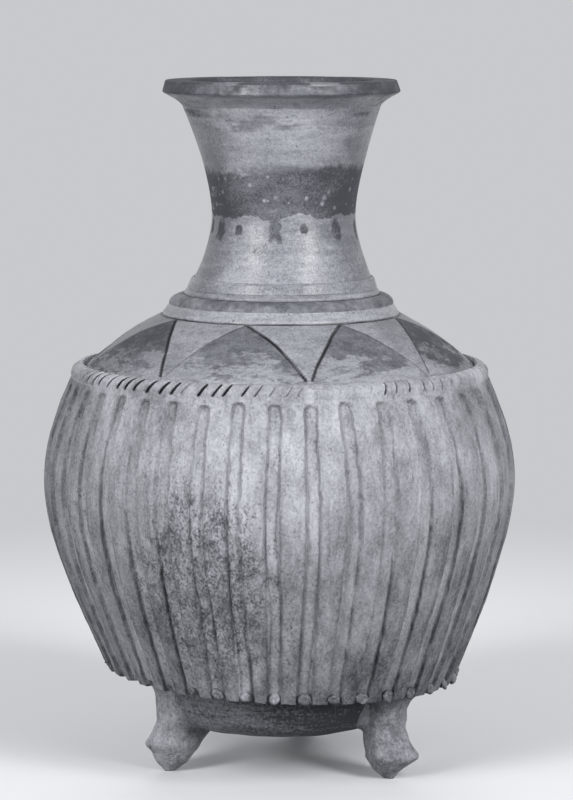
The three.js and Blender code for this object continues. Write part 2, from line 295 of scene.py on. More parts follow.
def node_tree(name, sizes):
    """A tree with a geometry in and out and a named input for each size."""
    tree = bpy.data.node_groups.new(name, "GeometryNodeTree")
    tree.interface.new_socket("Geometry", in_out="INPUT", socket_type="NodeSocketGeometry")
    kinds = {
        float: "NodeSocketFloat",
        int: "NodeSocketInt",
        bpy.types.Object: "NodeSocketObject",
        bpy.types.Material: "NodeSocketMaterial",
    }
    for label, value in sizes.items():
        tree.interface.new_socket(label, in_out="INPUT", socket_type=kinds[type(value)])
    tree.interface.new_socket("Geometry", in_out="OUTPUT", socket_type="NodeSocketGeometry")
    return tree, tree.nodes.new("NodeGroupInput").outputs


def shaped(piece, tree, sizes):
    """Runs a tree on a piece and keeps the result as its plain mesh."""
    modifier = piece.modifiers.new(tree.name, "NODES")
    modifier.node_group = tree
    for item in tree.interface.items_tree:
        if item.name in sizes:
            modifier[item.identifier] = sizes[item.name]
    graph = bpy.context.evaluated_depsgraph_get()
    plain = bpy.data.meshes.new_from_object(
        piece.evaluated_get(graph), preserve_all_data_layers=True, depsgraph=graph
    )
    piece.modifiers.remove(modifier)
    piece.data = plain


def curve_points(node, points):
    """Draws a curve node through the points."""
    line = node.mapping.curves[0]
    line.points[0].location = points[0]
    line.points[1].location = points[-1]
    for point in points[1:-1]:
        line.points.new(*point)
    node.mapping.update()
    return node


def round_the_axis(tree):
    """The turn, radius and height of each point of a piece."""
    spot = add(tree, "ShaderNodeSeparateXYZ", {0: add(tree, "GeometryNodeInputPosition")})
    x, y, height = spot.outputs
    flat = add(tree, "ShaderNodeCombineXYZ", {"X": x, "Y": y})
    radius = add(tree, "ShaderNodeVectorMath", {0: flat}, operation="LENGTH").outputs["Value"]
    turn = add(tree, "ShaderNodeMath", {0: y, 1: x}, operation="ARCTAN2")
    return turn, radius, height


def drift(tree, given, even):
    """How far cutting by eye moved a flute on from its even turn."""
    phase = add(tree, "ShaderNodeMath", {0: even, 1: given["Drift turn"]}, operation="SUBTRACT")
    swing = add(tree, "ShaderNodeMath", {0: phase}, operation="SINE")
    return add(tree, "ShaderNodeMath", {0: swing, 1: given["Drift"]}, operation="MULTIPLY")


def down_flute(tree, flute, lane, height, size, detail):
    """Noise from 0 to 1 down the flutes, with lumps of a size in millimetres. Each flute, and
    each lane across it, has noise of its own."""
    along = add(tree, "ShaderNodeMath", {0: height, 1: 1 / (size * MM)}, operation="MULTIPLY")
    where = add(tree, "ShaderNodeCombineXYZ", {"X": flute, "Y": lane, "Z": along})
    wave = add(tree, "ShaderNodeTexNoise", {"Vector": where, "Scale": 1.0, "Detail": detail})
    return wave.outputs[0]


def dented(tree, given, cut, lumps):
    """Adds to a cut the dents that hands left. Lumps have a size in millimetres along x, y and
    z, a detail and a share of the dents' depth."""
    for size, detail, share in lumps:
        spot = add(tree, "ShaderNodeVectorMath",
                   {0: add(tree, "GeometryNodeInputPosition"),
                    1: tuple(1 / (s * MM) for s in size)}, operation="MULTIPLY")
        wave = add(tree, "ShaderNodeTexNoise", {"Vector": spot, "Scale": 1.0, "Detail": detail})
        wave = add(tree, "ShaderNodeMath", {0: wave.outputs[0], 1: 0.5}, operation="SUBTRACT")
        wave = add(tree, "ShaderNodeMath", {0: wave, 1: share}, operation="MULTIPLY")
        cut = add(tree, "ShaderNodeMath", {0: wave, 1: given["Dents"], 2: cut},
                  operation="MULTIPLY_ADD")
    return cut


def carved(tree, given, cut, name, mark, **moved):
    """Lowers the outside by a cut, which is negative, and records the mark that it leaves."""
    outside = add(tree, "GeometryNodeInputNamedAttribute", {"Name": "outside"},
                  data_type="FLOAT")
    cut = add(tree, "ShaderNodeMath", {0: cut, 1: outside}, operation="MULTIPLY")
    offset = add(tree, "ShaderNodeVectorMath",
                 {0: add(tree, "GeometryNodeInputNormal"), "Scale": cut}, operation="SCALE")
    flow = add(tree, "GeometryNodeSetPosition",
               {"Geometry": given["Geometry"], "Offset": offset, **moved})
    mark = add(tree, "ShaderNodeMath", {0: mark, 1: outside}, operation="MULTIPLY")
    return add(tree, "GeometryNodeStoreNamedAttribute",
               {"Geometry": flow, "Name": name, "Value": mark}, data_type="FLOAT")


def finished(tree, given, flow):
    """Ends a tree: makes its copies real and gives them their clay."""
    flow = add(tree, "GeometryNodeRealizeInstances", {"Geometry": flow})
    flow = add(tree, "GeometryNodeSetMaterial", {"Geometry": flow, "Material": given["Clay"]})
    add(tree, "NodeGroupOutput", {0: flow})
    return tree


def nearest_flute(tree, given, turn):
    """The number of the flute nearest to each point, and the turn of its middle."""
    # the even turn that the drift moved here, found in three steps
    even = turn
    for _ in range(3):
        even = add(tree, "ShaderNodeMath", {0: turn, 1: drift(tree, given, even)},
                   operation="SUBTRACT")
    per_turn = add(tree, "ShaderNodeMath", {0: given["Flute count"], 1: FULL_TURN},
                   operation="DIVIDE")
    share = add(tree, "ShaderNodeMath", {0: even, 1: per_turn}, operation="MULTIPLY")
    index = add(tree, "ShaderNodeMath", {0: share}, operation="FLOOR")
    middle = add(tree, "ShaderNodeMath", {0: index, 1: 0.5}, operation="ADD")
    middle = add(tree, "ShaderNodeMath", {0: middle, 1: per_turn}, operation="DIVIDE")
    centre = add(tree, "ShaderNodeMath", {0: drift(tree, given, middle), 1: middle},
                 operation="ADD")
    return index, centre


def strayed(tree, given, flute, side, height, limits):
    """How far the edge of a flute strays, slowly and raggedly, within limits from 0 to 1."""
    slow, ragged = (
        add(tree, "ShaderNodeMath",
            {0: down_flute(tree, flute, lane, height, size, detail), 1: 0.5},
            operation="SUBTRACT")
        for lane, size, detail in ((0.0, 60, 1.0), (side, 7, 3.0))
    )
    slow = add(tree, "ShaderNodeMath", {0: slow, 1: given["Wander"]}, operation="MULTIPLY")
    stray = add(tree, "ShaderNodeMath", {0: ragged, 1: given["Raggedness"], 2: slow},
                operation="MULTIPLY_ADD")
    for limit in limits:
        stray = add(tree, "ShaderNodeMath", {0: stray, 1: limit}, operation="MULTIPLY")
    return stray


def past_start(tree, given, flute, half, height):
    """How far each point lies above the middle of its flute's round start. Every flute starts
    at a height of its own."""
    start = add(tree, "ShaderNodeCombineXYZ", {"X": flute, "Y": 40.0, "Z": 3.0})
    start = add(tree, "ShaderNodeTexNoise", {"Vector": start, "Scale": 1.0, "Detail": 0.0})
    start = add(tree, "ShaderNodeMath", {0: start.outputs[0], 1: 0.5}, operation="SUBTRACT")
    start = add(tree, "ShaderNodeMath",
                {0: start, 1: given["Scatter of tops"], 2: given["Flute top"]},
                operation="MULTIPLY_ADD")
    start = add(tree, "ShaderNodeMath", {0: start, 1: half}, operation="SUBTRACT")
    past = add(tree, "ShaderNodeMath", {0: height, 1: start}, operation="SUBTRACT")
    return add(tree, "ShaderNodeMath", {0: past, 1: 0.0}, operation="MAXIMUM")


def edge_dirt_and_shade(tree, flute, side, height, past):
    """How dark an edge is made, by dirt that it caught and by painted shade in the recess. It lies
    along one edge more than the other, comes and goes down the flute, is weak high up, and always
    marks with painted shadow the arc under the top, where the gouge first bit."""
    lane = add(tree, "ShaderNodeMath", {0: side, 1: 40.0}, operation="ADD")
    dirt_and_shade = 0.0
    for size, weight in ((32, 1.0), (6, 0.5)):
        dirt_and_shade = add(tree, "ShaderNodeMath",
                   {0: down_flute(tree, flute, lane, height, size, 2.0), 1: weight, 2: dirt_and_shade},
                   operation="MULTIPLY_ADD")
    dirt_and_shade = add(tree, "ShaderNodeMapRange",
               {"Value": dirt_and_shade, "From Min": 0.56, "From Max": 0.96, "To Min": 0.24})
    lower = add(tree, "ShaderNodeMapRange",
                {"Value": height, "From Min": 195 * MM, "From Max": 125 * MM, "To Min": 0.36})
    dirt_and_shade = add(tree, "ShaderNodeMath", {0: dirt_and_shade, 1: lower}, operation="MULTIPLY")
    # painted shadow in the arc under the flute's top, where the gouge first bit
    painted_shadow_under_top = add(tree, "ShaderNodeMapRange", {"Value": past, "From Max": 2 * MM, "To Max": 0.85})
    return add(tree, "ShaderNodeMath", {0: dirt_and_shade, 1: painted_shadow_under_top}, operation="MAXIMUM")


def floor_tone(tree, gone, height):
    """How much paler the floor of a flute is than the land beside it: it is paler low down, and
    greyer at its top, where painted shade lies under the gouge's start."""
    paler = add(tree, "ShaderNodeMapRange",
                {"Value": height, "From Min": 170 * MM, "From Max": 100 * MM, "To Max": 0.16})
    painted_shade_under_top = add(tree, "ShaderNodeMapRange",
                 {"Value": height, "From Min": 180 * MM, "From Max": 200 * MM, "To Max": 0.14})
    paler = add(tree, "ShaderNodeMath", {0: paler, 1: painted_shade_under_top}, operation="SUBTRACT")
    return add(tree, "ShaderNodeMapRange",
               {"Value": gone, "From Min": 0.42, "From Max": 0.56, "To Min": paler,
                "To Max": 0.0})


def fluted_wall_tree(sizes):
    """Gouges flutes down a turned wall: round at the top, ragged along their edges."""
    tree, given = node_tree("fluted wall", sizes)
    turn, radius, height = round_the_axis(tree)
    outside = add(tree, "GeometryNodeInputNamedAttribute", {"Name": "outside"},
                  data_type="FLOAT")
    index, centre = nearest_flute(tree, given, turn)
    off = add(tree, "ShaderNodeMath", {0: turn, 1: centre}, operation="SUBTRACT")
    across = add(tree, "ShaderNodeMath", {0: off, 1: radius}, operation="MULTIPLY")
    aside = add(tree, "ShaderNodeMath", {0: across}, operation="ABSOLUTE")
    broad = add(tree, "ShaderNodeMapRange",
                {"Value": height, "From Min": BROADENS_FROM * MM, "From Max": BROADENS_TO * MM,
                 "To Min": 1.0, "To Max": BROADENS_BY})
    half = add(tree, "ShaderNodeMath", {0: given["Flute half width"], 1: broad},
               operation="MULTIPLY")
    minus_half = add(tree, "ShaderNodeMath", {0: half, 1: -1.0}, operation="MULTIPLY")
    # flutes, and the two edges of one, lie far enough apart in the noise to differ
    flute = add(tree, "ShaderNodeMath", {0: index, 1: 7.31}, operation="MULTIPLY")
    side = add(tree, "ShaderNodeMapRange",
               {"Value": across, "From Min": minus_half, "From Max": half, "To Max": 1.9})
    # the land halfway to the next flute stays where it is
    near = add(tree, "ShaderNodeMath", {0: half, 1: 1.3}, operation="MULTIPLY")
    halfway = add(tree, "ShaderNodeMath", {0: radius, 1: math.pi}, operation="MULTIPLY")
    halfway = add(tree, "ShaderNodeMath", {0: halfway, 1: given["Flute count"]},
                  operation="DIVIDE")
    window = add(tree, "ShaderNodeMapRange",
                 {"Value": aside, "From Min": near, "From Max": halfway, "To Min": 1.0,
                  "To Max": 0.0}, interpolation_type="SMOOTHSTEP")
    stray = strayed(tree, given, flute, side, height, (window, outside))
    angle = add(tree, "ShaderNodeMath", {0: stray, 1: radius}, operation="DIVIDE")
    moved = add(tree, "ShaderNodeVectorRotate",
                {"Vector": add(tree, "GeometryNodeInputPosition"), "Angle": angle},
                rotation_type="Z_AXIS")
    # the gouge's section and its edge of dirt and painted shade, from the middle to 1.6 half
    # widths
    past = past_start(tree, given, flute, half, height)
    gone = add(tree, "ShaderNodeCombineXYZ", {"X": aside, "Y": past})
    gone = add(tree, "ShaderNodeVectorMath", {0: gone}, operation="LENGTH")
    gone = add(tree, "ShaderNodeMath", {0: gone.outputs["Value"], 1: half}, operation="DIVIDE")
    gone = add(tree, "ShaderNodeMath", {0: gone, 1: 1 / 1.6}, operation="MULTIPLY")
    section = curve_points(
        add(tree, "ShaderNodeFloatCurve", {"Value": gone}),
        [(0, 0.24), (0.32, 0.2), (0.5, 0.14), (0.56, 0.2), (0.61, 0.55), (0.66, 0.86),
         (0.74, 0.84), (0.86, LAND), (1, LAND)],
    )
    rim = curve_points(
        add(tree, "ShaderNodeFloatCurve", {"Value": gone}),
        [(0, 0), (0.34, 0.03), (0.45, 0.22), (0.53, 0.76), (0.58, 1), (0.63, 0.76),
         (0.71, 0.34), (0.85, 0.08), (1, 0)],
    )
    dirt_and_shade = edge_dirt_and_shade(tree, flute, side, height, past)
    rim = add(tree, "ShaderNodeMath", {0: rim, 1: dirt_and_shade}, operation="MULTIPLY")
    # the gouge bit deeper here and there, and the hand wiped the clay downwards
    cut = add(tree, "ShaderNodeMath", {0: section, 1: LAND}, operation="SUBTRACT")
    deep = add(tree, "ShaderNodeMath",
               {0: down_flute(tree, flute, 9.0, height, 38, 1.0), 1: 1.3, 2: 0.75},
               operation="MULTIPLY_ADD")
    deep = add(tree, "ShaderNodeMath", {0: deep, 1: given["Flute depth"]},
               operation="MULTIPLY")
    cut = add(tree, "ShaderNodeMath", {0: cut, 1: deep}, operation="MULTIPLY")
    cut = dented(tree, given, cut, [((13, 13, 40), 3.0, 0.9), ((3.2, 3.2, 30), 3.0, 0.6)])
    flow = carved(tree, given, cut, "rim", rim, Position=moved)
    # the flute's floor is paler, and greyer with painted shade under its top
    paler = add(tree, "ShaderNodeMath", {0: floor_tone(tree, gone, height), 1: outside},
                operation="MULTIPLY")
    shade = add(tree, "GeometryNodeInputNamedAttribute", {"Name": "shade"}, data_type="FLOAT")
    shade = add(tree, "ShaderNodeMath", {0: shade, 1: paler}, operation="SUBTRACT")
    flow = add(tree, "GeometryNodeStoreNamedAttribute",
               {"Geometry": flow, "Name": "shade", "Value": shade}, data_type="FLOAT")
    return finished(tree, given, flow)


def notched_cordon_tree(sizes):
    """Presses slanting stick nicks round the cordon."""
    tree, given = node_tree("notched cordon", sizes)
    turn, radius, height = round_the_axis(tree)
    # the stick was held slanting on one side of the jar and nearly upright on the other
    swing = add(tree, "ShaderNodeMath", {0: turn, 1: math.radians(150)}, operation="ADD")
    swing = add(tree, "ShaderNodeMath", {0: swing}, operation="COSINE")
    slant = add(tree, "ShaderNodeMapRange",
                {"Value": swing, "From Min": -0.25, "From Max": 0.5, "To Min": 0.1,
                 "To Max": 0.66})
    rise = add(tree, "ShaderNodeMath", {0: height, 1: given["Nick height"]},
               operation="SUBTRACT")
    lean = add(tree, "ShaderNodeMath", {0: rise, 1: slant}, operation="MULTIPLY")
    lean = add(tree, "ShaderNodeMath", {0: lean, 1: radius}, operation="DIVIDE")
    turn = add(tree, "ShaderNodeMath", {0: turn, 1: lean}, operation="SUBTRACT")
    per_turn = add(tree, "ShaderNodeMath", {0: given["Nick count"], 1: FULL_TURN},
                   operation="DIVIDE")
    share = add(tree, "ShaderNodeMath", {0: turn, 1: per_turn}, operation="MULTIPLY")
    index = add(tree, "ShaderNodeMath", {0: share}, operation="FLOOR")
    nick = add(tree, "ShaderNodeMath", {0: index, 1: given["Nick count"]},
               operation="FLOORED_MODULO")
    # chance gives each nick its place, its length and its force
    place, length, press = (
        add(tree, "ShaderNodeTexWhiteNoise",
            {"W": add(tree, "ShaderNodeMath", {0: nick, 1: seed}, operation="ADD")},
            noise_dimensions="1D")
        for seed in (0.0, 900.0, 500.0)
    )
    part = add(tree, "ShaderNodeMath", {0: share, 1: index}, operation="SUBTRACT")
    part = add(tree, "ShaderNodeMath", {0: part, 1: 0.5}, operation="SUBTRACT")
    jitter = add(tree, "ShaderNodeMath", {0: place, 1: 0.4, 2: -0.2},
                 operation="MULTIPLY_ADD")
    part = add(tree, "ShaderNodeMath", {0: part, 1: jitter}, operation="ADD")
    across = add(tree, "ShaderNodeMath", {0: part, 1: per_turn}, operation="DIVIDE")
    across = add(tree, "ShaderNodeMath", {0: across, 1: radius}, operation="MULTIPLY")
    across = add(tree, "ShaderNodeMath", {0: across}, operation="ABSOLUTE")
    broad = add(tree, "ShaderNodeMapRange",
                {"Value": swing, "From Min": 0.55, "From Max": 0.95, "To Min": 1.55,
                 "To Max": 3.3})
    broad = add(tree, "ShaderNodeMath", {0: broad, 1: given["Nick half width"]},
                operation="MULTIPLY")
    gone = add(tree, "ShaderNodeMath", {0: across, 1: broad}, operation="DIVIDE")
    section = curve_points(
        add(tree, "ShaderNodeFloatCurve", {"Value": gone}),
        [(0, 0), (0.2, 0.12), (0.42, 0.7), (0.52, 0.9), (0.7, 0.84), (1, LAND)],
    )
    cut = add(tree, "ShaderNodeMath", {0: section, 1: LAND}, operation="SUBTRACT")
    # a nick fades out before the foot of the cordon
    reach = add(tree, "ShaderNodeMath", {0: rise}, operation="ABSOLUTE")
    reach = add(tree, "ShaderNodeMath", {0: length, 1: 1.4 * MM, 2: reach},
                operation="MULTIPLY_ADD")
    fade = add(tree, "ShaderNodeMapRange",
               {"Value": reach, "From Min": 2.6 * MM, "From Max": 4.9 * MM, "To Min": 1.0,
                "To Max": 0.0}, interpolation_type="SMOOTHSTEP")
    # the stick hardly touched a stretch right of the front, and was pressed harder where it slants
    faint = add(tree, "ShaderNodeMath", {0: turn, 1: math.radians(90 - FAINT_NICKS)},
                operation="ADD")
    faint = add(tree, "ShaderNodeMath", {0: faint}, operation="ABSOLUTE")
    faint = add(tree, "ShaderNodeMapRange",
                {"Value": faint, "From Min": math.radians(7), "From Max": math.radians(12),
                 "To Min": 0.15, "To Max": 1.0}, interpolation_type="SMOOTHSTEP")
    harder = add(tree, "ShaderNodeMapRange",
                 {"Value": swing, "From Min": 0.6, "From Max": 0.95, "To Min": 0.15,
                  "To Max": 0.5})
    force = add(tree, "ShaderNodeMath", {0: press, 1: harder}, operation="ADD")
    for limit in (fade, faint):
        force = add(tree, "ShaderNodeMath", {0: force, 1: limit}, operation="MULTIPLY")
    for factor in (force, given["Nick depth"]):
        cut = add(tree, "ShaderNodeMath", {0: cut, 1: factor}, operation="MULTIPLY")
    cut = dented(tree, given, cut, [((6, 6, 6), 2.0, 1.0)])
    mark = add(tree, "ShaderNodeMapRange",
               {"Value": gone, "From Max": 0.4, "To Min": 1.0, "To Max": 0.0})
    mark = add(tree, "ShaderNodeMath", {0: mark, 1: force}, operation="MULTIPLY")
    return finished(tree, given, carved(tree, given, cut, "scored", mark))


def scored_marks_tree(sizes):
    """Scores a surface along the edges of a strokes object, each with its own weight."""
    tree, given = node_tree("scored marks", sizes)
    strokes = add(tree, "GeometryNodeObjectInfo", {"Object": given["Strokes"]})
    strokes = strokes.outputs["Geometry"]
    near = add(tree, "GeometryNodeProximity", {0: strokes}, target_element="EDGES")
    nearest = add(tree, "GeometryNodeSampleNearest", {"Geometry": strokes}, domain="EDGE")
    weight = add(tree, "GeometryNodeInputNamedAttribute", {"Name": "weight"},
                 data_type="FLOAT")
    weight = add(tree, "GeometryNodeSampleIndex",
                 {"Geometry": strokes, "Value": weight, "Index": nearest},
                 data_type="FLOAT", domain="EDGE")
    half = add(tree, "ShaderNodeMapRange", {"Value": weight, "To Min": 0.45, "To Max": 1.0})
    half = add(tree, "ShaderNodeMath", {0: half, 1: given["Half width"]},
               operation="MULTIPLY")
    gone = add(tree, "ShaderNodeMath", {0: near.outputs["Distance"], 1: half},
               operation="DIVIDE")
    gone = add(tree, "ShaderNodeMath", {0: gone, 1: 0.5}, operation="MULTIPLY")
    section = curve_points(
        add(tree, "ShaderNodeFloatCurve", {"Value": gone}),
        [(0, 0), (0.15, 0.1), (0.4, 0.72), (0.52, 0.92), (0.68, 0.86), (1, LAND)],
    )
    cut = add(tree, "ShaderNodeMath", {0: section, 1: LAND}, operation="SUBTRACT")
    for factor in (weight, given["Depth"]):
        cut = add(tree, "ShaderNodeMath", {0: cut, 1: factor}, operation="MULTIPLY")
    cut = dented(tree, given, cut, [((14, 14, 14), 2.0, 1.0)])
    # the nearness of a line is recorded evenly, and the clay turns it into a sharp line
    mark = add(tree, "ShaderNodeMapRange",
               {"Value": gone, "From Max": 0.62, "To Min": 1.0, "To Max": 0.0})
    mark = add(tree, "ShaderNodeMath", {0: mark, 1: weight}, operation="MULTIPLY")
    return finished(tree, given, carved(tree, given, cut, "scored", mark))


def gouge_curls_tree(sizes):
    """Lays a curl of clay at the lower end of each flute, each turned and sized by chance."""
    tree, given = node_tree("gouge curls", sizes)
    index = add(tree, "GeometryNodeInputIndex")
    middle = add(tree, "ShaderNodeMath", {0: index, 1: 0.5}, operation="ADD")
    middle = add(tree, "ShaderNodeMath", {0: middle, 1: FULL_TURN}, operation="MULTIPLY")
    middle = add(tree, "ShaderNodeMath", {0: middle, 1: given["Flute count"]},
                 operation="DIVIDE")
    turn = add(tree, "ShaderNodeMath", {0: drift(tree, given, middle), 1: middle},
               operation="ADD")
    place = add(tree, "ShaderNodeCombineXYZ", {"X": given["Radius"], "Z": given["Height"]})
    place = add(tree, "ShaderNodeVectorRotate", {"Vector": place, "Angle": turn},
                rotation_type="Z_AXIS")
    spots = add(tree, "GeometryNodePoints",
                {"Count": given["Flute count"], "Position": place})
    tilt, size = (
        add(tree, "FunctionNodeRandomValue",
            {"Min": least, "Max": most, "Seed": given["Seed"]}, data_type="FLOAT_VECTOR")
        for least, most in (((-0.5, -0.35, -0.35), (0.5, 0.35, 0.35)),
                            ((0.8, 0.8, 0.8), (1.15, 1.25, 1.15)))
    )
    facing = add(tree, "ShaderNodeCombineXYZ", {"Z": turn})
    facing = add(tree, "ShaderNodeVectorMath", {0: facing, 1: tilt}, operation="ADD")
    # the curls are nearly rubbed away on the stained side
    worn = add(tree, "ShaderNodeMath", {0: turn, 1: -math.radians(270 + RUBBED_CURLS)},
               operation="ADD")
    worn = add(tree, "ShaderNodeMath", {0: worn}, operation="ABSOLUTE")
    worn = add(tree, "ShaderNodeMapRange",
               {"Value": worn, "From Min": math.radians(26), "From Max": math.radians(42),
                "To Min": 0.3})
    size = add(tree, "ShaderNodeVectorMath", {0: size, "Scale": worn}, operation="SCALE")
    curls = add(tree, "GeometryNodeInstanceOnPoints",
                {"Points": spots, "Instance": given["Geometry"], "Rotation": facing,
                 "Scale": size})
    curls = add(tree, "GeometryNodeRealizeInstances", {"Geometry": curls})
    lumps = add(tree, "ShaderNodeTexNoise", {"Scale": 1 / (2.2 * MM), "Detail": 2.0})
    lumps = add(tree, "ShaderNodeVectorMath",
                {0: lumps.outputs["Color"], 1: (0.5, 0.5, 0.5)}, operation="SUBTRACT")
    lumps = add(tree, "ShaderNodeVectorMath", {0: lumps, "Scale": given["Dents"]},
                operation="SCALE")
    curls = add(tree, "GeometryNodeSetPosition", {"Geometry": curls, "Offset": lumps})
    return finished(tree, given, curls)


# Materials

def clay(name):
    """An empty material, its tree and the jar's own coordinates."""
    material = bpy.data.materials.new(name)
    material.use_nodes = True
    material.node_tree.nodes.clear()
    spot = add(material.node_tree, "ShaderNodeTexCoord").outputs["Object"]
    return material, material.node_tree, spot


def layered(tree, spot, base, layers):
    """Adds layers of noise to a base value. A layer has a size in millimetres along x, y and z,
    a detail and a weight."""
    for size, detail, weight in layers:
        place = add(tree, "ShaderNodeMapping",
                    {"Vector": spot, "Scale": tuple(1 / (s * MM) for s in size)})
        wave = add(tree, "ShaderNodeTexNoise",
                   {"Vector": place, "Scale": 1.0, "Detail": detail, "Roughness": 0.6})
        wave = add(tree, "ShaderNodeMath", {0: wave, 1: 0.5}, operation="SUBTRACT")
        base = add(tree, "ShaderNodeMath", {0: wave, 1: weight, 2: base},
                   operation="MULTIPLY_ADD")
    return base


def fired_face(tree, spot, ground, gloss, grit, depth, strength):
    """The face of fired clay: its colour and gloss, and grit that stands out of it to a depth
    in millimetres."""
    relief = layered(tree, spot, 0.5, grit)
    relief = add(tree, "ShaderNodeBump",
                 {"Strength": strength, "Distance": depth * MM, "Height": relief})
    surface = add(tree, "ShaderNodeBsdfPrincipled",
                  {"Base Color": ground, "Roughness": gloss, "Normal": relief, "IOR": 1.35})
    add(tree, "ShaderNodeOutputMaterial", {"Surface": surface})


def stained(tree, spot):
    """How far each point lies in a stain, from 0 to 1."""
    stain = 0.0
    for middle, reach, weight in STAINS:
        away = add(tree, "ShaderNodeVectorMath", {0: spot, 1: tuple(m * MM for m in middle)},
                   operation="SUBTRACT")
        away = add(tree, "ShaderNodeVectorMath",
                   {0: away, 1: tuple(1 / (r * MM) for r in reach)}, operation="MULTIPLY")
        away = add(tree, "ShaderNodeVectorMath", {0: away}, operation="LENGTH")
        near = add(tree, "ShaderNodeMapRange",
                   {"Value": away.outputs["Value"], "From Min": 1.25, "From Max": 0.35,
                    "To Max": weight}, interpolation_type="SMOOTHSTEP")
        stain = add(tree, "ShaderNodeMath", {0: near, 1: stain}, operation="MAXIMUM")
    return stain


def slip_clay(name, light, dark, even, layers, roughness, grit):
    """Low-fired grey earthenware under a thin pale slip. Reads what the pieces record: how dark
    the slip is, painted shade and light included, where a darker slip is painted and how far it is
    worn, how near a scored line is, and where dirt and painted shade darken the edges of flutes
    and curls."""
    material, tree, spot = clay(name)
    shade, paint, wear, rim, scored = (
        add(tree, "ShaderNodeAttribute", attribute_name=attribute).outputs["Fac"]
        for attribute in ("shade", "paint", "wear", "rim", "scored")
    )
    tone = add(tree, "ShaderNodeMath", {0: shade, 1: even}, operation="ADD")
    tone = layered(tree, spot, tone, layers)
    ground = add(tree, "ShaderNodeMix",
                 {"Factor": tone, "A": linear(light), "B": linear(dark)}, data_type="RGBA")
    # dark specks of 1 to 4 mm run together where the wall is stained
    stain = stained(tree, spot)
    patchy = layered(tree, spot, stain, [((11, 11, 15), 3.0, 3.0)])
    patchy = add(tree, "ShaderNodeMath", {0: patchy, 1: stain}, operation="MULTIPLY",
                 use_clamp=True)
    speck = add(tree, "ShaderNodeMath", {0: patchy, 1: 0.32, 2: 0.36},
                operation="MULTIPLY_ADD")
    speck = layered(tree, spot, speck,
                    [((1.1, 1.1, 1.4), 4.0, 1.3), ((4, 4, 6), 4.0, 0.9)])
    speck = add(tree, "ShaderNodeMapRange",
                {"Value": speck, "From Min": 0.46, "From Max": 0.86, "To Max": 0.95})
    # the darker slip, brushed on with an uneven edge and rubbed off in level smears
    brushed = layered(tree, spot, paint, [((4, 4, 4), 4.0, 2.0), ((18, 18, 7), 3.0, 1.6)])
    brushed = add(tree, "ShaderNodeMapRange",
                  {"Value": brushed, "From Min": -0.7, "From Max": 0.7},
                  interpolation_type="SMOOTHSTEP")
    rubbed = layered(tree, spot, wear, [((22, 22, 5), 4.0, 2.6), ((3, 3, 2), 3.0, 0.9)])
    rubbed = add(tree, "ShaderNodeMapRange",
                 {"Value": rubbed, "From Min": 0.34, "From Max": 0.74, "To Max": 0.86},
                 interpolation_type="SMOOTHSTEP")
    rubbed = add(tree, "ShaderNodeMath", {0: 1.0, 1: rubbed}, operation="SUBTRACT")
    brushed = add(tree, "ShaderNodeMath", {0: brushed, 1: rubbed}, operation="MULTIPLY")
    deep = add(tree, "ShaderNodeMath", {0: 0.6, 1: shade}, operation="SUBTRACT")
    deep = layered(tree, spot, deep, [((16, 16, 8), 4.0, 1.4), ((1.0, 1.0, 1.0), 3.0, 1.6)])
    deep = add(tree, "ShaderNodeMix",
               {"Factor": deep, "A": linear("#3e4046"), "B": linear("#7e8086")},
               data_type="RGBA")
    # dirt and painted shade along flute and curl edges, most where they are stained; dark scored
    # lines
    dirt_and_painted_shade = add(tree, "ShaderNodeMath", {0: stain, 1: 0.25, 2: 0.72},
                 operation="MULTIPLY_ADD")
    dirt_and_painted_shade = add(tree, "ShaderNodeMath", {0: rim, 1: dirt_and_painted_shade}, operation="MULTIPLY")
    scored = add(tree, "ShaderNodeMapRange",
                 {"Value": scored, "From Min": 0.08, "From Max": 0.5},
                 interpolation_type="SMOOTHSTEP")
    for share, colour in ((speck, linear("#45474d")), (brushed, deep),
                          (dirt_and_painted_shade, linear("#303136")), (scored, linear("#1d1e22"))):
        ground = add(tree, "ShaderNodeMix", {"Factor": share, "A": ground, "B": colour},
                     data_type="RGBA")
    # the stain and the darker slip stayed matt
    matt = add(tree, "ShaderNodeMath", {0: brushed, 1: 0.6}, operation="MULTIPLY")
    matt = add(tree, "ShaderNodeMath", {0: speck, 1: matt}, operation="MAXIMUM")
    gloss = add(tree, "ShaderNodeMapRange",
                {"Value": matt, "To Min": roughness, "To Max": 0.85})
    sand = [((0.9, 0.9, 0.9), 3.0, 1.0), ((2.4, 2.4, 9), 3.0, 0.8)]
    fired_face(tree, spot, ground, gloss, sand, 0.6, grit)
    return material


def bare_clay(name, light, dark, layers):
    """Grey earthenware without slip, with open grit and the marks of the hand that smoothed it."""
    material, tree, spot = clay(name)
    shade = add(tree, "ShaderNodeAttribute", attribute_name="shade").outputs["Fac"]
    tone = add(tree, "ShaderNodeMath", {0: shade, 1: 0.5}, operation="ADD")
    tone = layered(tree, spot, tone, layers)
    pit = layered(tree, spot, 0.5, [((1.8, 1.8, 1.8), 5.0, 1.0)])
    pit = add(tree, "ShaderNodeMapRange",
              {"Value": pit, "From Min": 0.58, "From Max": 0.74, "To Max": 0.6})
    ground = linear(light)
    for share, colour in ((tone, linear(dark)), (pit, linear("#55575d"))):
        ground = add(tree, "ShaderNodeMix", {"Factor": share, "A": ground, "B": colour},
                     data_type="RGBA")
    gloss = add(tree, "ShaderNodeMapRange", {"Value": pit, "To Min": 0.7, "To Max": 0.95})
    grit = [((1.2, 1.2, 1.2), 3.0, 1.4), ((4, 4, 4), 3.0, 1.2)]
    fired_face(tree, spot, ground, gloss, grit, 0.7, 0.8)
    return material


# Slip rubbed with a pebble while leather hard: smooth, with a soft low sheen and level smears
burnished_slip = slip_clay(
    "burnished_grey_slip", "#bcbec4", "#6c6e74", 0.4,
    [((45, 45, 30), 3.0, 0.8), ((20, 20, 4), 4.0, 0.8), ((3, 3, 1.4), 3.0, 0.5),
     ((1.0, 1.0, 0.9), 3.0, 1.0)], 0.28, 0.15)
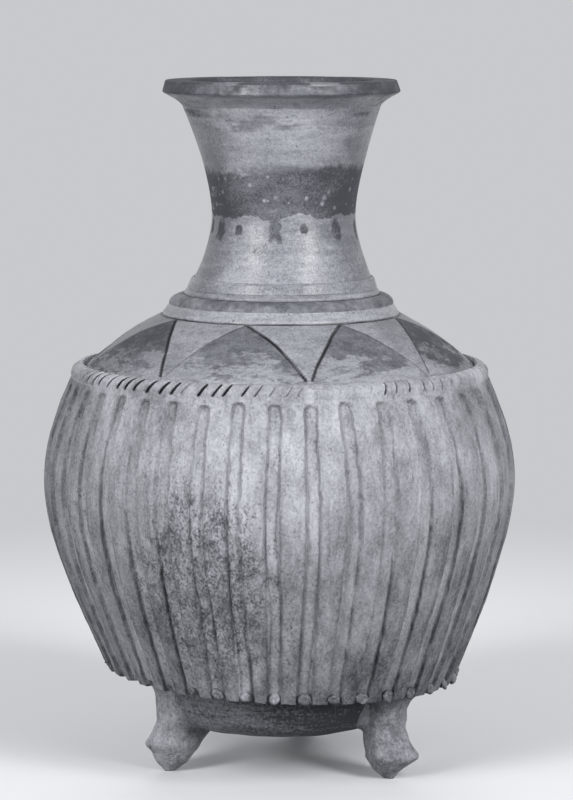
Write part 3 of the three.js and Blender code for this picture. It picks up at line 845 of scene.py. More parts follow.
# Slip wiped down the wall over the gouge marks: matt and sandy, with fine upright streaks
wiped_slip = slip_clay(
    "wiped_grey_slip", "#b4b6bc", "#3e4046", 0.35,
    [((50, 50, 70), 2.0, 0.7), ((1.8, 1.8, 26), 3.0, 0.45), ((5, 5, 50), 3.0, 0.5),
     ((13, 13, 20), 4.0, 1.0), ((1.3, 1.3, 1.5), 4.0, 0.85)], 0.64, 0.5)
# Bare clay of the dish, wiped round with a wet cloth, which leaves faint level marks
unslipped = bare_clay(
    "bare_grey_earthenware", "#85878d", "#34363b",
    [((30, 30, 5), 4.0, 1.1), ((14, 14, 1.6), 4.0, 1.5), ((1.6, 1.6, 1.6), 3.0, 2.4)])
# Bare clay of the feet, pinched and pressed with the fingers: paler and lumpier than the dish
finger_pressed = bare_clay(
    "finger_pressed_earthenware", "#b4b6bc", "#6c6e74",
    [((13, 13, 16), 4.0, 1.2), ((4, 4, 7), 3.0, 1.3), ((1.4, 1.4, 1.4), 4.0, 1.5)])


# Pieces

def black_edges(spots, centres):
    """How black the dirt is that single edges of the flutes caught."""
    x, y, height = spots.T
    turn, around = np.arctan2(y, x), np.hypot(x, y)
    half = FLUTE_HALF * np.interp(height, [BROADENS_TO, BROADENS_FROM], [BROADENS_BY, 1.0])
    black = np.zeros(len(spots))
    for azimuth, low, high, weight in DIRTY_EDGES:
        at = math.radians(azimuth - 90)
        middle = centres[np.argmin(np.abs(apart(centres, at, FULL_TURN)))]
        # the mark along a flute's edge is strongest at 0.93 of its half width
        edge = 0.93 * half * np.sign(apart(at, middle, FULL_TURN))
        away = np.abs(apart(turn, middle, FULL_TURN) * around - edge)
        along = np.interp(height, [low - 4, low + 2, high - 8, high + 4], [0, 1, 1, 0])
        black = np.maximum(black, weight * along * np.clip(1.1 - away / 0.8, 0, 1))
    broken = uneven(np.stack([turn * 20, turn * 0, height], -1), 5, 21)
    return black * np.clip(0.34 + 0.16 * broken, 0.16, 0.42)


def fluted_wall():
    corner = (CORNER_RADIUS, WALL_UNDER)
    widest = (BELLY_RADIUS, BELLY_HEIGHT)
    ledge = (FLANGE_RADIUS + SEAM, FLANGE_TOP + SEAM)
    inner_widest = (BELLY_RADIUS - THICKNESS, BELLY_HEIGHT)
    inner_rim = (DOME_INNER, WALL_TOP - 6.5)
    outer = [
        corner,
        *sweep(corner, widest, (0.46, 0.33), (1, 0.72), 1.8),
        *sweep(widest, (WALL_TOP_RADIUS, WALL_TOP), (0, 0.42), (0.62, 0.76), 1.5),
    ]
    outline = [
        (*corner, 1.2),
        *outer[1:],
        (DOME_INNER, WALL_TOP),
        inner_rim,
        *sweep(inner_rim, inner_widest, (0.5, 0.25), (1, 0.5), 9),
        *sweep(inner_widest, ledge, (0, 0.3), (0.25, 0.8), 12),
        (FLANGE_RADIUS + SEAM, FLANGE_SEAT),
        (DISH_RIM + SEAM, FLANGE_SEAT),
        (DISH_RIM + SEAM, WALL_UNDER),
    ]
    outer = np.array(outer)

    def beneath(radius, height):
        """How far a point lies under the wall's outer face."""
        return np.interp(height, outer[:, 1], outer[:, 0]) - radius

    profile = profile_of(outline, lambda r, z: 2.0 if beneath(r, z) < 2 else 12)
    # columns crowd at the edges of the flutes, where the gouge left its sharp arris
    steps = np.array([0, 1.3, 2.3, 2.8, 3.2, 3.55, 4.0, 4.7, 6.0])
    even = (np.arange(FLUTE_COUNT + 1) + 0.5) / FLUTE_COUNT * FULL_TURN
    centres = even + DRIFT * np.sin(even - DRIFT_TURN)
    radius = np.maximum(profile[:, :1], CORNER_RADIUS)
    turns = []
    for near, far in zip(centres[:-1], centres[1:]):
        turns += [near + steps / radius, np.full_like(radius, (near + far) / 2),
                  far - steps[:0:-1] / radius]
    wall = turned("fluted_belly_wall", profile, np.concatenate(turns, axis=1))
    spots = points_of(wall)
    azimuth, around, height = about_axis(spots)
    outside = beneath(around, height) < 1.6
    fade = np.interp(height, [WALL_TOP - 1.5, WALL_TOP - 0.3], [1, 0])
    record(wall, "outside", outside * fade)
    # painted shade darkens the foot, the sides and the low right; painted light pales the low left
    shade = np.interp(height, [50, 90, 150, 206], [0.34, 0.2, 0.02, 0.04])
    shade += np.interp(np.abs(azimuth), [50, 80, 140], [0, 0.26, 0])
    low = np.interp(height, [70, 120], [1, 0])
    shade += low * np.interp(azimuth, [-75, -45, 0, 30, 60], [-0.12, -0.12, 0, 0.12, 0])
    record(wall, "shade", shade)
    record(wall, "scored", black_edges(spots, centres) * outside)
    sizes = {
        "Flute count": FLUTE_COUNT,
        "Flute half width": FLUTE_HALF * MM,
        "Flute depth": FLUTE_DEPTH * MM,
        "Flute top": FLUTE_TOP * MM,
        "Scatter of tops": 6.0 * MM,
        "Drift": DRIFT,
        "Drift turn": DRIFT_TURN,
        "Wander": 6.0 * MM,
        "Raggedness": 3.4 * MM,
        "Dents": 1.3 * MM,
        "Clay": wiped_slip,
    }
    shaped(wall, fluted_wall_tree(sizes), sizes)
    finish_piece(wall, wiped_slip, ["fluted_wall"])


def gouge_curls():
    """One pinched curl with a dimple on its face, repeated round the foot of the wall."""
    shape = bmesh.new()
    bmesh.ops.create_icosphere(shape, subdivisions=3, radius=1.0)
    for vert in shape.verts:
        x, y, z = vert.co
        dimple = math.exp(-(y * y + z * z) / 0.16) * max(x, 0)
        vert.co = Vector((1.6 * x - 1.0 * dimple, 3.4 * y, 3.2 * z)) * MM
    mesh = bpy.data.meshes.new("gouge_curls")
    shape.to_mesh(mesh)
    shape.free()
    curls = placed("gouge_curls", mesh)
    outward = points_of(curls)[:, 0]
    # painted shade: each curl darkens towards the edge where it sits on the wall; its tone is
    # darker too
    record(curls, "rim", np.clip(1.3 - outward / 0.8, 0, 1))
    record(curls, "shade", np.full(len(outward), 0.42))
    sizes = {
        "Flute count": FLUTE_COUNT,
        "Drift": DRIFT,
        "Drift turn": DRIFT_TURN,
        "Radius": (CORNER_RADIUS + 1.4) * MM,
        "Height": (WALL_UNDER + 3.2) * MM,
        "Dents": 2.2 * MM,
        "Seed": 7,
        "Clay": wiped_slip,
    }
    shaped(curls, gouge_curls_tree(sizes), sizes)
    finish_piece(curls, wiped_slip, ["fluted_wall"], crease=180)


# the dome's outer face from the ring to its foot, and how far along it each point lies
DOME_LINE = np.array([(RING_RADIUS, RING_HEIGHT)] + sweep(
    (RING_RADIUS, RING_HEIGHT), (DOME_EDGE, DOME_FOOT), (0.31, 0.2), (0.67, 0.54), 0.6))
DOME_RUN = np.concatenate([[0], np.cumsum(np.linalg.norm(np.diff(DOME_LINE, axis=0), axis=1))])
DOME_RUN = DOME_RUN / DOME_RUN[-1]


def on_plan(azimuth, radius):
    """The point at an azimuth and radius, seen from above."""
    turn = np.radians(azimuth)
    return np.stack([radius * np.sin(turn), -radius * np.cos(turn)], axis=-1)


def on_dome(spots):
    """Points given on plan, set on the dome's surface."""
    around = np.hypot(spots[:, 0], spots[:, 1])
    return np.column_stack([spots, np.interp(around, DOME_LINE[:, 0], DOME_LINE[:, 1])])


def corners(left, top, right):
    """The top, left and right corners of a triangle on plan."""
    return (on_plan(top, RING_RADIUS + 0.4), on_plan(left, DOME_EDGE - 1.2),
            on_plan(right, DOME_EDGE - 1.2))


def beside(spots, start, end):
    """How far points lie to the left of a line drawn on plan."""
    along = (end - start) / np.linalg.norm(end - start)
    gap = spots[:, :2] - start
    return along[0] * gap[:, 1] - along[1] * gap[:, 0]


def dome_strokes():
    """The lines scored on the shoulder, as edges with a weight each."""
    lines = []
    share = np.linspace(0, 1, 16)
    for number, (left, top, right, left_weight, right_weight) in enumerate(TRIANGLES):
        apex, left_foot, right_foot = corners(left, top, right)
        for foot, weight, lane in ((left_foot, left_weight, 0), (right_foot, right_weight, 1)):
            seeds = np.stack([share * 3, share * 0 + number, share * 0 + lane], axis=-1)
            stray = 0.7 * uneven(seeds, 1.0)[:, None] * (foot - apex)[::-1] * (-1, 1)
            line = apex + (foot - apex) * share[:, None] + stray / 60
            lines.append((on_dome(line), np.full(15, weight)))
    # lines round the jar: the ring, and the grooves at the dome's foot, deepest on the left
    azimuth = np.linspace(0, 360, 181)
    left = np.interp(azimuth[:-1], [30, 90, 230, 250, 330, 360], [0.8, 0.5, 0.5, 1.4, 1.4, 0.8])
    for share, weight in ((0.0, 0.75 + 0 * left), (0.955, 0.3 * left), (0.985, 0.7 * left)):
        wave = 0.004 * np.sin(np.radians(azimuth * 3 + share * 90))
        radius = np.interp(np.clip(share + wave, 0, 1), DOME_RUN, DOME_LINE[:, 0])
        lines.append((on_dome(on_plan(azimuth, radius)), weight))
    # a fine pair of lines round the pale band above the ring
    turn = np.radians(azimuth)
    for radius, height in ((60.9, 240.9), (51.9, 249.3)):
        ring = np.stack([radius * np.cos(turn), radius * np.sin(turn), height + 0 * turn], -1)
        lines.append((ring, 0.2 + 0 * left))
    points, edges, weights = [], [], []
    for line, weight in lines:
        start = len(points)
        points += line.tolist()
        edges += [(start + k, start + k + 1) for k in range(len(line) - 1)]
        weights += weight.tolist()
    strokes = mesh_piece("dome strokes", points, edges=edges)
    record(strokes, "weight", weights, "EDGE")
    return strokes


def shoulder_dome():
    ring = (RING_RADIUS, RING_HEIGHT)
    crown = (COLLAR_RADIUS + 0.6, SHOULDER_TOP)
    moulding = (MOULDING_RADIUS, MOULDING_FOOT + 0.6)
    inner_edge = (DOME_INNER, WALL_TOP + 4.2)
    inner_ring = (RING_RADIUS, RING_HEIGHT - THICKNESS)
    outline = [
        (DOME_EDGE, WALL_TOP),
        (DOME_EDGE, DOME_FOOT, 0.8),
        *[tuple(p) for p in DOME_LINE[::-1][2:-2]],
        (*ring, 0.6),
        (MOULDING_RADIUS, MOULDING_FOOT, 0.4),
        *sweep((MOULDING_RADIUS, MOULDING_FOOT), moulding, (0, 0.5), (1, 0.9), 0.5),
        *sweep(moulding, crown, (0, 0.6), (0.45, 0.95), 0.6),
        (COLLAR_BORE, SHOULDER_TOP),
        (COLLAR_BORE, NECK_SEAT),
        (NECK_FOOT_INNER, NECK_SEAT),
        (NECK_FOOT_INNER, NECK_SEAT - 5),
        inner_ring,
        *sweep(inner_ring, inner_edge, (0.32, 0.18), (0.7, 0.58), 7),
        (DOME_INNER, WALL_TOP),
    ]
    lining = np.array([(NECK_FOOT_INNER, NECK_SEAT - 5), inner_ring, inner_edge])

    def is_outer(radius, height):
        """Whether a point lies well above the dome's inner face."""
        return height > np.interp(radius, lining[:, 0], lining[:, 1]) + 4

    profile = profile_of(
        outline, lambda r, z: 0.9 if r > COLLAR_RADIUS and is_outer(r, z) else 5)
    dome = turned("shoulder_dome_scored", profile, even_turns(670))
    spots = points_of(dome)
    azimuth, around, height = about_axis(spots)
    skirt = np.interp(height, [WALL_TOP + 0.5, DOME_FOOT - 1], [0, 1])
    bare_of_collar = around > COLLAR_RADIUS - 1
    record(dome, "outside", is_outer(around, height) * skirt * bare_of_collar)
    share = np.interp(-height, -DOME_LINE[:, 1], DOME_RUN)
    # the triangles, with their edges softened over a millimetre, end just above the foot
    length = 52  # of the dome's face from the ring to its foot, roughly
    paint = np.full(len(spots), -3.0)
    for left, top, right, *_ in TRIANGLES:
        apex, left_foot, right_foot = corners(left, top, right)
        inside = np.minimum(beside(spots, apex, left_foot), beside(spots, right_foot, apex))
        paint = np.maximum(paint, np.minimum(inside / 0.5, (0.95 - share) * length / 1.2))
    on_shoulder = (height < RING_HEIGHT - 0.3) & (height > DOME_FOOT - 1)
    on_moulding = np.interp(height, [MOULDING_FOOT - 0.2, MOULDING_FOOT + 0.4], [-3, 0.3])
    record(dome, "paint", np.where(on_shoulder, np.clip(paint, -3, 0.5), on_moulding))
    # the slip is most worn low down on the front; painted shade darkens it towards the sides
    to_side = np.abs(azimuth)
    wear = np.interp(share, [0.2, 0.45, 0.6, 0.9], [-0.3, 0.1, 0.5, 0.76])
    wear -= np.interp(to_side, [48, 70, 150], [0, 0.2, 0])
    record(dome, "wear", wear * on_shoulder)
    shade = np.interp(height, [RING_HEIGHT - 1, RING_HEIGHT + 1], [0.3, 0.2])
    shade += np.interp(to_side, [42, 72, 150], [0, 0.5, 0]) * on_shoulder
    # where the dark slip is rubbed off, the pale one under it is rubbed brighter
    shade -= np.interp(share, [0.5, 0.9], [0, 0.16]) * (paint > 0) * on_shoulder
    record(dome, "shade", shade)
    strokes = dome_strokes()
    sizes = {
        "Strokes": strokes,
        "Half width": 1.1 * MM,
        "Depth": 0.9 * MM,
        "Dents": 0.7 * MM,
        "Clay": burnished_slip,
    }
    shaped(dome, scored_marks_tree(sizes), sizes)
    bpy.data.objects.remove(strokes)
    finish_piece(dome, burnished_slip, ["shoulder_dome"])


def notched_cordon():
    inner = DOME_EDGE + 0.6
    shoulder = (WALL_TOP_RADIUS, WALL_TOP + 1.8)
    crest = (inner + 0.6, WALL_TOP + 7.4)
    outline = [
        (inner, WALL_TOP),
        (WALL_TOP_RADIUS, WALL_TOP),
        shoulder,
        *sweep(shoulder, crest, (0, 0.6), (0.5, 1), 0.45),
        (inner, WALL_TOP + 6.2, 0.3),
    ]
    profile = profile_of(outline, lambda r, z: 0.6 if r > inner + 0.2 and z > WALL_TOP else 3)
    cordon = turned("shoulder_cordon_notched", profile, even_turns(1700))
    height = points_of(cordon)[:, 2]
    record(cordon, "outside", np.interp(height, [WALL_TOP + 0.4, WALL_TOP + 1.8], [0, 1]))
    sizes = {
        "Nick count": NICK_COUNT,
        "Nick half width": 1.05 * MM,
        "Nick depth": 1.9 * MM,
        "Nick height": (WALL_TOP + 4.2) * MM,
        "Dents": 0.8 * MM,
        "Clay": wiped_slip,
    }
    shaped(cordon, notched_cordon_tree(sizes), sizes)
    finish_piece(cordon, wiped_slip, ["notched_cordon"])


def neck_collar():
    outline = [
        (COLLAR_BORE, SHOULDER_TOP),
        (COLLAR_RADIUS, SHOULDER_TOP, 0.2),
        (COLLAR_RADIUS, SHOULDER_TOP + 1.0, 0.6),
        (COLLAR_RADIUS - 0.9, SHOULDER_TOP + 2.3, 0.6),
        (COLLAR_RADIUS - 1.9, SHOULDER_TOP + 2.6, 0.4),
        (COLLAR_RADIUS - 1.5, SHOULDER_TOP + 3.3, 0.4),
        (COLLAR_RADIUS - 3.2, COLLAR_TOP - 0.8, 0.5),
        (COLLAR_RADIUS - 3.9, COLLAR_TOP, 0.3),
        (COLLAR_BORE, COLLAR_TOP),
    ]
    profile = profile_of(outline, lambda r, z: 0.7 if r > COLLAR_BORE + 0.1 else 3)
    collar = turned("neck_collar_beaded", profile, even_turns(560))
    record(collar, "shade", np.full(len(collar.data.vertices), 0.4))
    finish_piece(collar, burnished_slip, ["neck_collar"])


def neck_paint(spots):
    """The dark slip on the outside of the neck: a band with bare specks, tongues below it and
    smears above it."""
    azimuth, around, height = about_axis(spots)
    turn = np.radians(azimuth)
    # the band's foot goes up and down in small steps and strays
    band_foot = BAND_FOOT + 0.8 * np.sign(np.sin(turn * 7 + 0.4)) * (np.sin(turn * 3 + 1) > 0)
    band_foot += 3.2 * uneven(spots * (1, 1, 0.4), 8, 21, 3)
    band_top = BAND_TOP + 1 + 2 * np.sin(turn * 2 + 0.5)
    band = np.minimum((band_top - height) / 4.5, (height - band_foot) / 0.5)
    # round bare specks where the slip did not take
    chance = np.random.default_rng(11)
    turns = chance.uniform(-180, 180, SPECK_COUNT)
    heights = chance.uniform(295, 314, SPECK_COUNT)
    radii = chance.uniform(0.5, 1.45, SPECK_COUNT)
    for at, high, size in zip(turns, heights, radii):
        away = np.radians(apart(azimuth, at)) * around
        band = np.minimum(band, (np.hypot(away, height - high) / size - 0.6) * 1.2)
    # each tongue is a rounded drop with a ragged edge
    drop = np.full(len(spots), -3.0)
    ragged = 0.45 * uneven(spots, 3.5, 9, 3)
    for at, middle, tall, share in TONGUES:
        away = np.radians(apart(azimuth, at)) * around
        rise = (height - middle) / tall * 2
        width = TONGUE_HALF * share * np.interp(rise, [-1, 0, 1], [1.1, 1, 0.7])
        far = (np.abs(away / width) ** 3 + np.abs(rise * 0.9) ** 3) ** (1 / 3) + ragged
        drop = np.maximum(drop, (1 - far) * 3)
    # level smears under the lip, mostly on the left
    streak = uneven(spots * (0.25, 0.25, 2), 8, 3, 4)
    under_lip = np.interp(height, [326, 336, 346], [0, 1, 1])
    side = np.interp(azimuth, [-180, -60, 40, 180], [0.2, 0.45, -0.2, 0.2])
    streak = (streak * 1.3 - 0.3 + side) * under_lip - 3 * (1 - under_lip)
    return np.maximum(np.maximum(band, drop), streak)


def neck_tube():
    foot = (NECK_FOOT, COLLAR_TOP)
    waist = (WAIST_RADIUS, WAIST_HEIGHT)
    top = (NECK_TOP, LIP_SEAT)
    rebate = LIP_SEAT - SPIGOT_DEPTH - SEAM
    inner_top = (NECK_TOP_INNER, rebate)
    inner_waist = (WAIST_INNER, WAIST_HEIGHT)
    inner_foot = (NECK_FOOT_INNER, COLLAR_TOP - 4)
    outline = [
        (NECK_FOOT, NECK_SEAT),
        foot,
        *sweep(foot, waist, (0.53, 0.3), (1, 0.72), 0.9),
        *sweep(waist, top, (0, 0.27), (0.57, 0.72), 0.9),
        (SPIGOT_RADIUS + SEAM, LIP_SEAT),
        (SPIGOT_RADIUS + SEAM, rebate),
        inner_top,
        *sweep(inner_top, inner_waist, (0.43, 0.28), (1, 0.73), 2.4),
        *sweep(inner_waist, inner_foot, (0, 0.4), (0.9, 0.7), 2.4),
        (NECK_FOOT_INNER, NECK_SEAT),
    ]
    neck = turned("neck_banded", profile_of(outline, lambda r, z: 3), even_turns(480))
    spots = points_of(neck)
    azimuth, around, height = about_axis(spots)
    # the outer face lies past a line about halfway through the neck's wall
    outer = around > np.interp(height, [240, 258, 290, 320, 347], [43, 43, 34.5, 38, 49.5])
    inside = np.interp(height, [250, 330], [-0.5, 3])
    paint = np.where(outer, neck_paint(spots), inside)
    record(neck, "paint", np.clip(paint, -3, 3) - 0.3)
    record(neck, "wear", np.interp(height, [300, 306], [0.1, 0.0]) * outer)
    # painted shade darkens the sides and low neck; a painted highlight pales the left of the front
    shade = np.interp(np.abs(azimuth), [15, 55, 180], [0, 0.2, 0.1])
    shade *= np.interp(height, [285, 293, 312, 320], [1, 3.2, 2.6, 2.2])
    shade -= 0.2 * np.exp(-((azimuth + 33) / 13) ** 2)
    shade += np.interp(height, [258, 285, 296, 325], [0.3, 0.42, 0.2, 0.16])
    record(neck, "shade", shade)
    finish_piece(neck, burnished_slip, ["neck_tube"])


def lip_ring():
    face_foot = (LIP_RADIUS, LIP_TOP - 5.8)
    under = (LIP_RADIUS - 0.9, LIP_TOP - 6.7)
    outline = [
        (MOUTH_RADIUS, LIP_TOP, 1.0),
        (LIP_TOP_RADIUS, LIP_TOP, 0.9),
        (*face_foot, 0.5),
        (*under, 0.4),
        *sweep(under, (NECK_TOP, LIP_SEAT), (0.4, 0.3), (0.8, 0.6), 0.9),
        (SPIGOT_RADIUS, LIP_SEAT),
        (SPIGOT_RADIUS, LIP_SEAT - SPIGOT_DEPTH),
        (NECK_TOP_INNER, LIP_SEAT - SPIGOT_DEPTH),
        (NECK_TOP_INNER, LIP_SEAT),
        (MOUTH_RADIUS - 0.9, LIP_TOP - 2, 1.0),
    ]
    profile = profile_of(outline, lambda r, z: 0.9)
    lip = turned("lip_flat_topped", profile, even_turns(640))
    spots = points_of(lip)
    azimuth, around, height = about_axis(spots)
    # two places at the back where the outer edge of the flat top is knocked away
    chip = np.zeros(len(spots))
    for turn, reach in ((-158, 9.0), (152, 5.5)):
        gone = apart(azimuth, turn) / reach
        chip = np.maximum(chip, np.clip(1 - gone ** 4, 0, 1))
    edge = np.clip(1 - np.hypot(around - LIP_TOP_RADIUS, height - LIP_TOP) / 3.2, 0, 1)
    knocked = chip * edge
    dents = 0.22 * uneven(spots, 9, 5)
    spots[:, 2] -= 1.5 * knocked
    scale = 1 + (dents * (height < LIP_TOP - 0.5) - 0.8 * knocked) / np.maximum(around, 1)
    spots[:, :2] *= scale[:, None]
    move_points(lip, spots)
    ends = np.interp(np.abs(azimuth), [38, 62, 180], [0.15, 1.0, 1.2])
    face = np.where(height < LIP_TOP - 6.3, -0.6 + 0.5 * ends, ends)
    inward = (around < LIP_TOP_RADIUS - 0.7) & (height > LIP_TOP - 5)
    mouth = around < NECK_TOP - 1
    record(lip, "paint", np.where(inward | mouth | (height > LIP_TOP - 0.5), 3, face))
    # painted light pales the hollow under the lip, in the shade of its overhang; the face is
    # darker
    under_lip = np.interp(height, [LIP_SEAT, LIP_TOP - 8, LIP_TOP - 6.8], [0.25, 0.0, 0.6])
    record(lip, "shade", under_lip)
    worn = np.clip(1.2 - ((np.abs(azimuth + 3) - 25) / 8) ** 2, -1, 1)
    record(lip, "wear", 0.9 * worn * (height > LIP_TOP - 1))
    finish_piece(lip, burnished_slip, ["lip_ring"], crease=50)


# the dish's under face, from its rim in to the flat
DISH_CURVE = [(DISH_RIM, WALL_UNDER)] + sweep(
    (DISH_RIM, WALL_UNDER), (DISH_FLAT, DISH_UNDER), (0.02, 0.55), (0.12, 1), 1.2)


def base_bowl():
    hollow = DISH_RIM - THICKNESS
    floor = (0, DISH_UNDER + THICKNESS)
    outline = [
        floor,
        *[(max(r, 0), z) for r, z in [(0, DISH_UNDER)] + DISH_CURVE[::-1]],
        (DISH_RIM, FLANGE_SEAT),
        (FLANGE_RADIUS, FLANGE_SEAT),
        (FLANGE_RADIUS, FLANGE_TOP),
        (hollow, FLANGE_TOP),
        (hollow, FLANGE_SEAT),
        *sweep((hollow, FLANGE_SEAT), floor, (0, 0.8), (0.3, 1), 4)[:-1],
    ]
    profile = profile_of(outline, lambda r, z: 2.4)
    bowl = turned("base_dish", profile, even_turns(300))
    spots = points_of(bowl)
    _, around, height = about_axis(spots)
    under = np.interp(around, *np.array(DISH_CURVE[::-1]).T, left=DISH_UNDER)
    outer = (height < WALL_UNDER - 0.5) & (height < under + 1)
    fade = np.interp(height, [WALL_UNDER - 6, WALL_UNDER - 1], [1, 0]) * outer
    spots[:, 2] += 0.8 * uneven(spots, 22, 8) * fade
    move_points(bowl, spots)
    # the points that meet on the axis become one
    shape = bmesh.new()
    shape.from_mesh(bowl.data)
    poles = [v for v in shape.verts if v.co.xy.length < 1e-7]
    bmesh.ops.remove_doubles(shape, verts=poles, dist=1e-5)
    shape.to_mesh(bowl.data)
    shape.free()
    azimuth = about_axis(points_of(bowl))[0]
    # painted shadow of the wall's overhang: the dish darkens from the front round to the right
    shade = np.interp(azimuth, [-70, -30, 0, 30, 180], [-0.1, -0.16, 0.3, 0.6, 0.1])
    record(bowl, "shade", shade)
    finish_piece(bowl, unslipped, ["base_bowl"])


def foot(name, turn, inset, tip_middle, toe_rise, pinch_turn, pinch, web, darker):
    """A foot pinched out of a lump of clay and pressed on under the jar: a small worn tip, a
    toe, a narrow waist on the outside, and a web of clay that runs in under the dish."""
    sides, leg_rows, curve_rows = 128, 40, 16
    levels = (0, FOOT_KNUCKLE_RISE, toe_rise, FOOT_WAIST_RISE, WALL_UNDER)
    inward = np.array(FOOT_SIDEWAYS) + web * (np.array(FOOT_WEB) - FOOT_SIDEWAYS)
    dish = np.array(DISH_CURVE[::-1])
    side = even_turns(sides)
    fillet = np.interp(np.cos(side), [-1, -0.4, 0.2, 1], FOOT_FILLETS)
    outward = np.radians(turn - 90)
    towards = np.radians(pinch_turn - turn)

    def reach(z):
        """Distance of the foot's face from its middle, for each side, at a height."""
        out, inner = np.interp(z, levels, FOOT_OUTWARD), np.interp(z, levels, inward)
        wide = np.interp(z, levels, FOOT_SIDEWAYS)
        deep = np.where(np.cos(side) > 0, out, inner)
        far = 1 / np.sqrt((np.cos(side) / deep) ** 2 + (np.sin(side) / wide) ** 2)
        lobe = np.exp(-apart(side, towards, FULL_TURN) ** 2 / 0.2)
        return far + pinch * lobe * np.exp(-((z - toe_rise) / 5) ** 2)

    def place(far, z):
        """Points of the jar's frame at a distance and height for each side of the foot."""
        middle = np.interp(z, [0, WALL_UNDER], [tip_middle, inset])
        x, y = middle + far * np.cos(side), far * np.sin(side)
        return np.stack([x * math.cos(outward) - y * math.sin(outward),
                         x * math.sin(outward) + y * math.cos(outward), z], axis=-1)

    def ceiling(points):
        around = np.hypot(points[:, 0], points[:, 1])
        return np.interp(around, dish[:, 0], dish[:, 1], left=DISH_UNDER, right=WALL_UNDER)

    # the height at which each side starts to curve out into the dish
    start = WALL_UNDER - fillet
    for _ in range(12):
        start = 0.5 * start + 0.5 * np.clip(ceiling(place(reach(start), start)) - fillet,
                                            toe_rise * 0.6, None)
    rows = [(reach(start * (k / leg_rows) ** 1.1), start * (k / leg_rows) ** 1.1)
            for k in range(leg_rows + 1)]
    begun = rows[-1][0]
    for k in range(1, curve_rows + 1):
        bend = k / curve_rows * math.pi / 2
        far = begun + fillet * (1 - math.cos(bend))
        roof = ceiling(place(far, start)) - fillet * (1 - math.sin(bend))
        rows.append((far, np.maximum(roof, start + 0.2 * k)))
    # the rows are smoothed down the foot and round it
    far, z = (np.array(part) for part in zip(*rows))
    for _ in range(3):
        for part in (far, z):
            part[1:-1] = 0.5 * part[1:-1] + 0.25 * (part[:-2] + part[2:])
    far = 0.5 * far + 0.25 * (np.roll(far, 1, 1) + np.roll(far, -1, 1))
    points = [place(f, h) for f, h in zip(far, z)]
    points.append(place(far[-1] * 0.9, z[-1] + 1.5))
    points = np.concatenate(points)
    # nothing reaches past the corner of the wall
    around = np.hypot(points[:, 0], points[:, 1])
    points[:, :2] *= np.minimum(1, (CORNER_RADIUS - 3.5) / around)[:, None]
    # fingers left lumps, but none at the tip
    lumps = uneven(points, 13, turn) * 1.3 + uneven(points, 5, turn + 1) * 0.4
    middle = place(np.zeros(sides), points[:sides, 2] * 0)[0]
    push = points - middle
    push[:, 2] = 0
    push /= np.maximum(np.linalg.norm(push, axis=1), 1)[:, None]
    points += push * (lumps * np.interp(points[:, 2], [0, 3, 30, 45], [0, 1, 1, 0.2]))[:, None]
    count = len(points)
    ends = [points[:sides].mean(axis=0), points[-sides:].mean(axis=0)]
    here = np.arange(count - sides)
    after = here // sides * sides + (here + 1) % sides
    faces = np.stack([here, after, after + sides, here + sides], -1).tolist()
    faces += [(count, (k + 1) % sides, k) for k in range(sides)]
    last = count - sides
    faces += [(count + 1, last + k, last + (k + 1) % sides) for k in range(sides)]
    piece = mesh_piece(name + "_pinched", np.vstack([points, ends]), faces)
    # painted shade: the web darkens as it runs in under the dish, to meet the dish's painted
    # shadow
    spots = points_of(piece)
    gap = np.hypot(*(spots[:, :2] - middle[:2]).T)
    record(piece, "shade", darker + np.interp(gap, [11, 26], [0, 0.9])
           * np.interp(spots[:, 2], [16, 34], [0, 1]))
    finish_piece(piece, finger_pressed, [name], crease=60)


fluted_wall()
gouge_curls()
shoulder_dome()
notched_cordon()
neck_collar()
neck_tube()
lip_ring()
base_bowl()
for pressed_on in FEET:
    foot(*pressed_on)

# the rolls pressed over the seams inside keep their plain shape and take the bare clay
for node in ("base_luting_roll", "shoulder_luting_roll", "neck_luting_roll"):
    for slot in bpy.data.objects[node].material_slots:
        slot.material = unslipped


# Studio

FLOOR_REACH = 30000.0
BACKGROUND = "#c8c9cc"


def background_rays(tree):
    """1 for the rays that show the background: straight to the eye, mirrored or through glass."""
    rays = add(tree, "ShaderNodeLightPath").outputs
    seen = add(tree, "ShaderNodeMath", {0: rays["Is Camera Ray"], 1: rays["Is Glossy Ray"]},
               operation="MAXIMUM")
    return add(tree, "ShaderNodeMath", {0: seen, 1: rays["Is Transmission Ray"]},
               operation="MAXIMUM")


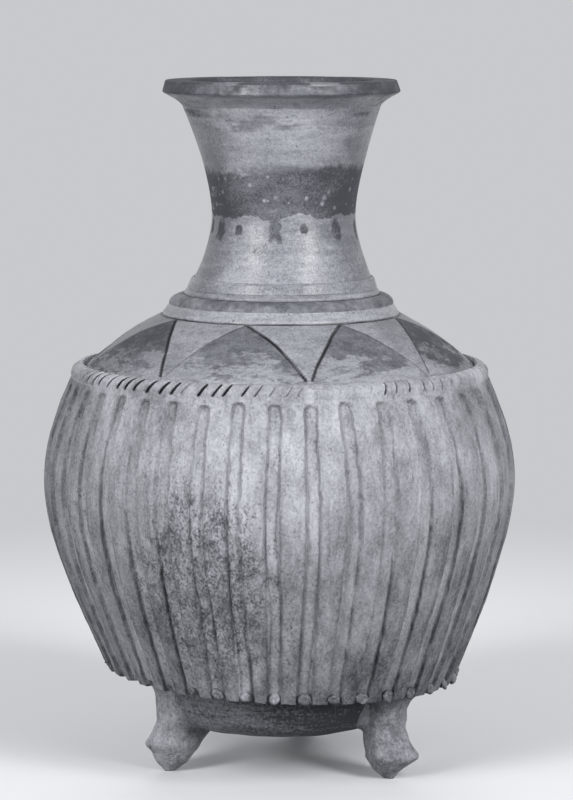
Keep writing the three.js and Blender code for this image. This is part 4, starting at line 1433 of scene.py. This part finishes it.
def studio_floor():
    """A wide sheet of pale paper that keeps the jar's shadow and, further off, runs out into
    the pale background."""
    far = FLOOR_REACH
    square = [(-far, -far, 0), (far, -far, 0), (far, far, 0), (-far, far, 0)]
    paper = mesh_piece("paper_floor", square, [(0, 1, 2, 3)])
    material, tree, spot = clay("pale_paper")
    seen = background_rays(tree)
    # pale to the eye, but a quiet grey in what it throws back on the jar
    tone = add(tree, "ShaderNodeMix",
               {"Factor": seen, "A": linear("#6c6d70"), "B": linear("#e2e3e6")},
               data_type="RGBA")
    near = add(tree, "ShaderNodeBsdfPrincipled",
               {"Base Color": tone, "Roughness": 0.95, "Specular IOR Level": 0.2})
    distant = add(tree, "ShaderNodeEmission", {"Color": linear(BACKGROUND), "Strength": 1.0})
    away = add(tree, "ShaderNodeVectorMath", {0: spot}, operation="LENGTH")
    away = add(tree, "ShaderNodeMapRange",
               {"Value": away.outputs["Value"], "From Min": 0.3, "From Max": 0.85},
               interpolation_type="SMOOTHSTEP")
    away = add(tree, "ShaderNodeMath", {0: away, 1: seen}, operation="MULTIPLY")
    face = add(tree, "ShaderNodeMixShader", {0: away, 1: near, 2: distant})
    add(tree, "ShaderNodeOutputMaterial", {"Surface": face})
    paper.data.materials.append(material)


def soft_box(name, place, target, size, power):
    light = bpy.data.lights.new(name, "AREA")
    light.shape = "RECTANGLE"
    light.size, light.size_y = size
    light.energy = power
    lamp = placed(name, light)
    lamp.location = place
    lamp.rotation_euler = (Vector(target) - Vector(place)).to_track_quat("-Z", "Y").to_euler()
    return lamp


studio_floor()
soft_box("left_soft_box", (-1.34, -1.5, 1.05), (0, 0, 0.2), (0.6, 1.5), 42)
soft_box("right_soft_box", (1.34, -1.5, 1.05), (0, 0, 0.2), (0.6, 1.5), 46)
# a weaker one lifts the back, without a gleam of its own on the rims
back = soft_box("back_soft_box", (0, 1.9, 0.75), (0, 0, 0.2), (1.2, 0.9), 24)
back.visible_camera = back.visible_glossy = False

world = bpy.data.worlds.new("studio")
world.use_nodes = True
world.node_tree.nodes.clear()
sky = add(world.node_tree, "ShaderNodeBackground",
          {"Color": linear("#dcdde0"), "Strength": 0.3})
wall = add(world.node_tree, "ShaderNodeBackground",
           {"Color": linear(BACKGROUND), "Strength": 1.0})
sky = add(world.node_tree, "ShaderNodeMixShader",
          {0: background_rays(world.node_tree), 1: sky, 2: wall})
add(world.node_tree, "ShaderNodeOutputWorld", {"Surface": sky})
scene = bpy.context.scene
scene.world = world
scene.view_settings.view_transform = "Standard"

lens = bpy.data.cameras.new("photograph")
lens.lens = 155.8
lens.sensor_width = 36
camera = placed("photograph", lens)
camera.location = (0.0035, -1.8, 0.4176)
camera.rotation_euler = (math.radians(90 - 7.12), 0, 0)
scene.camera = camera
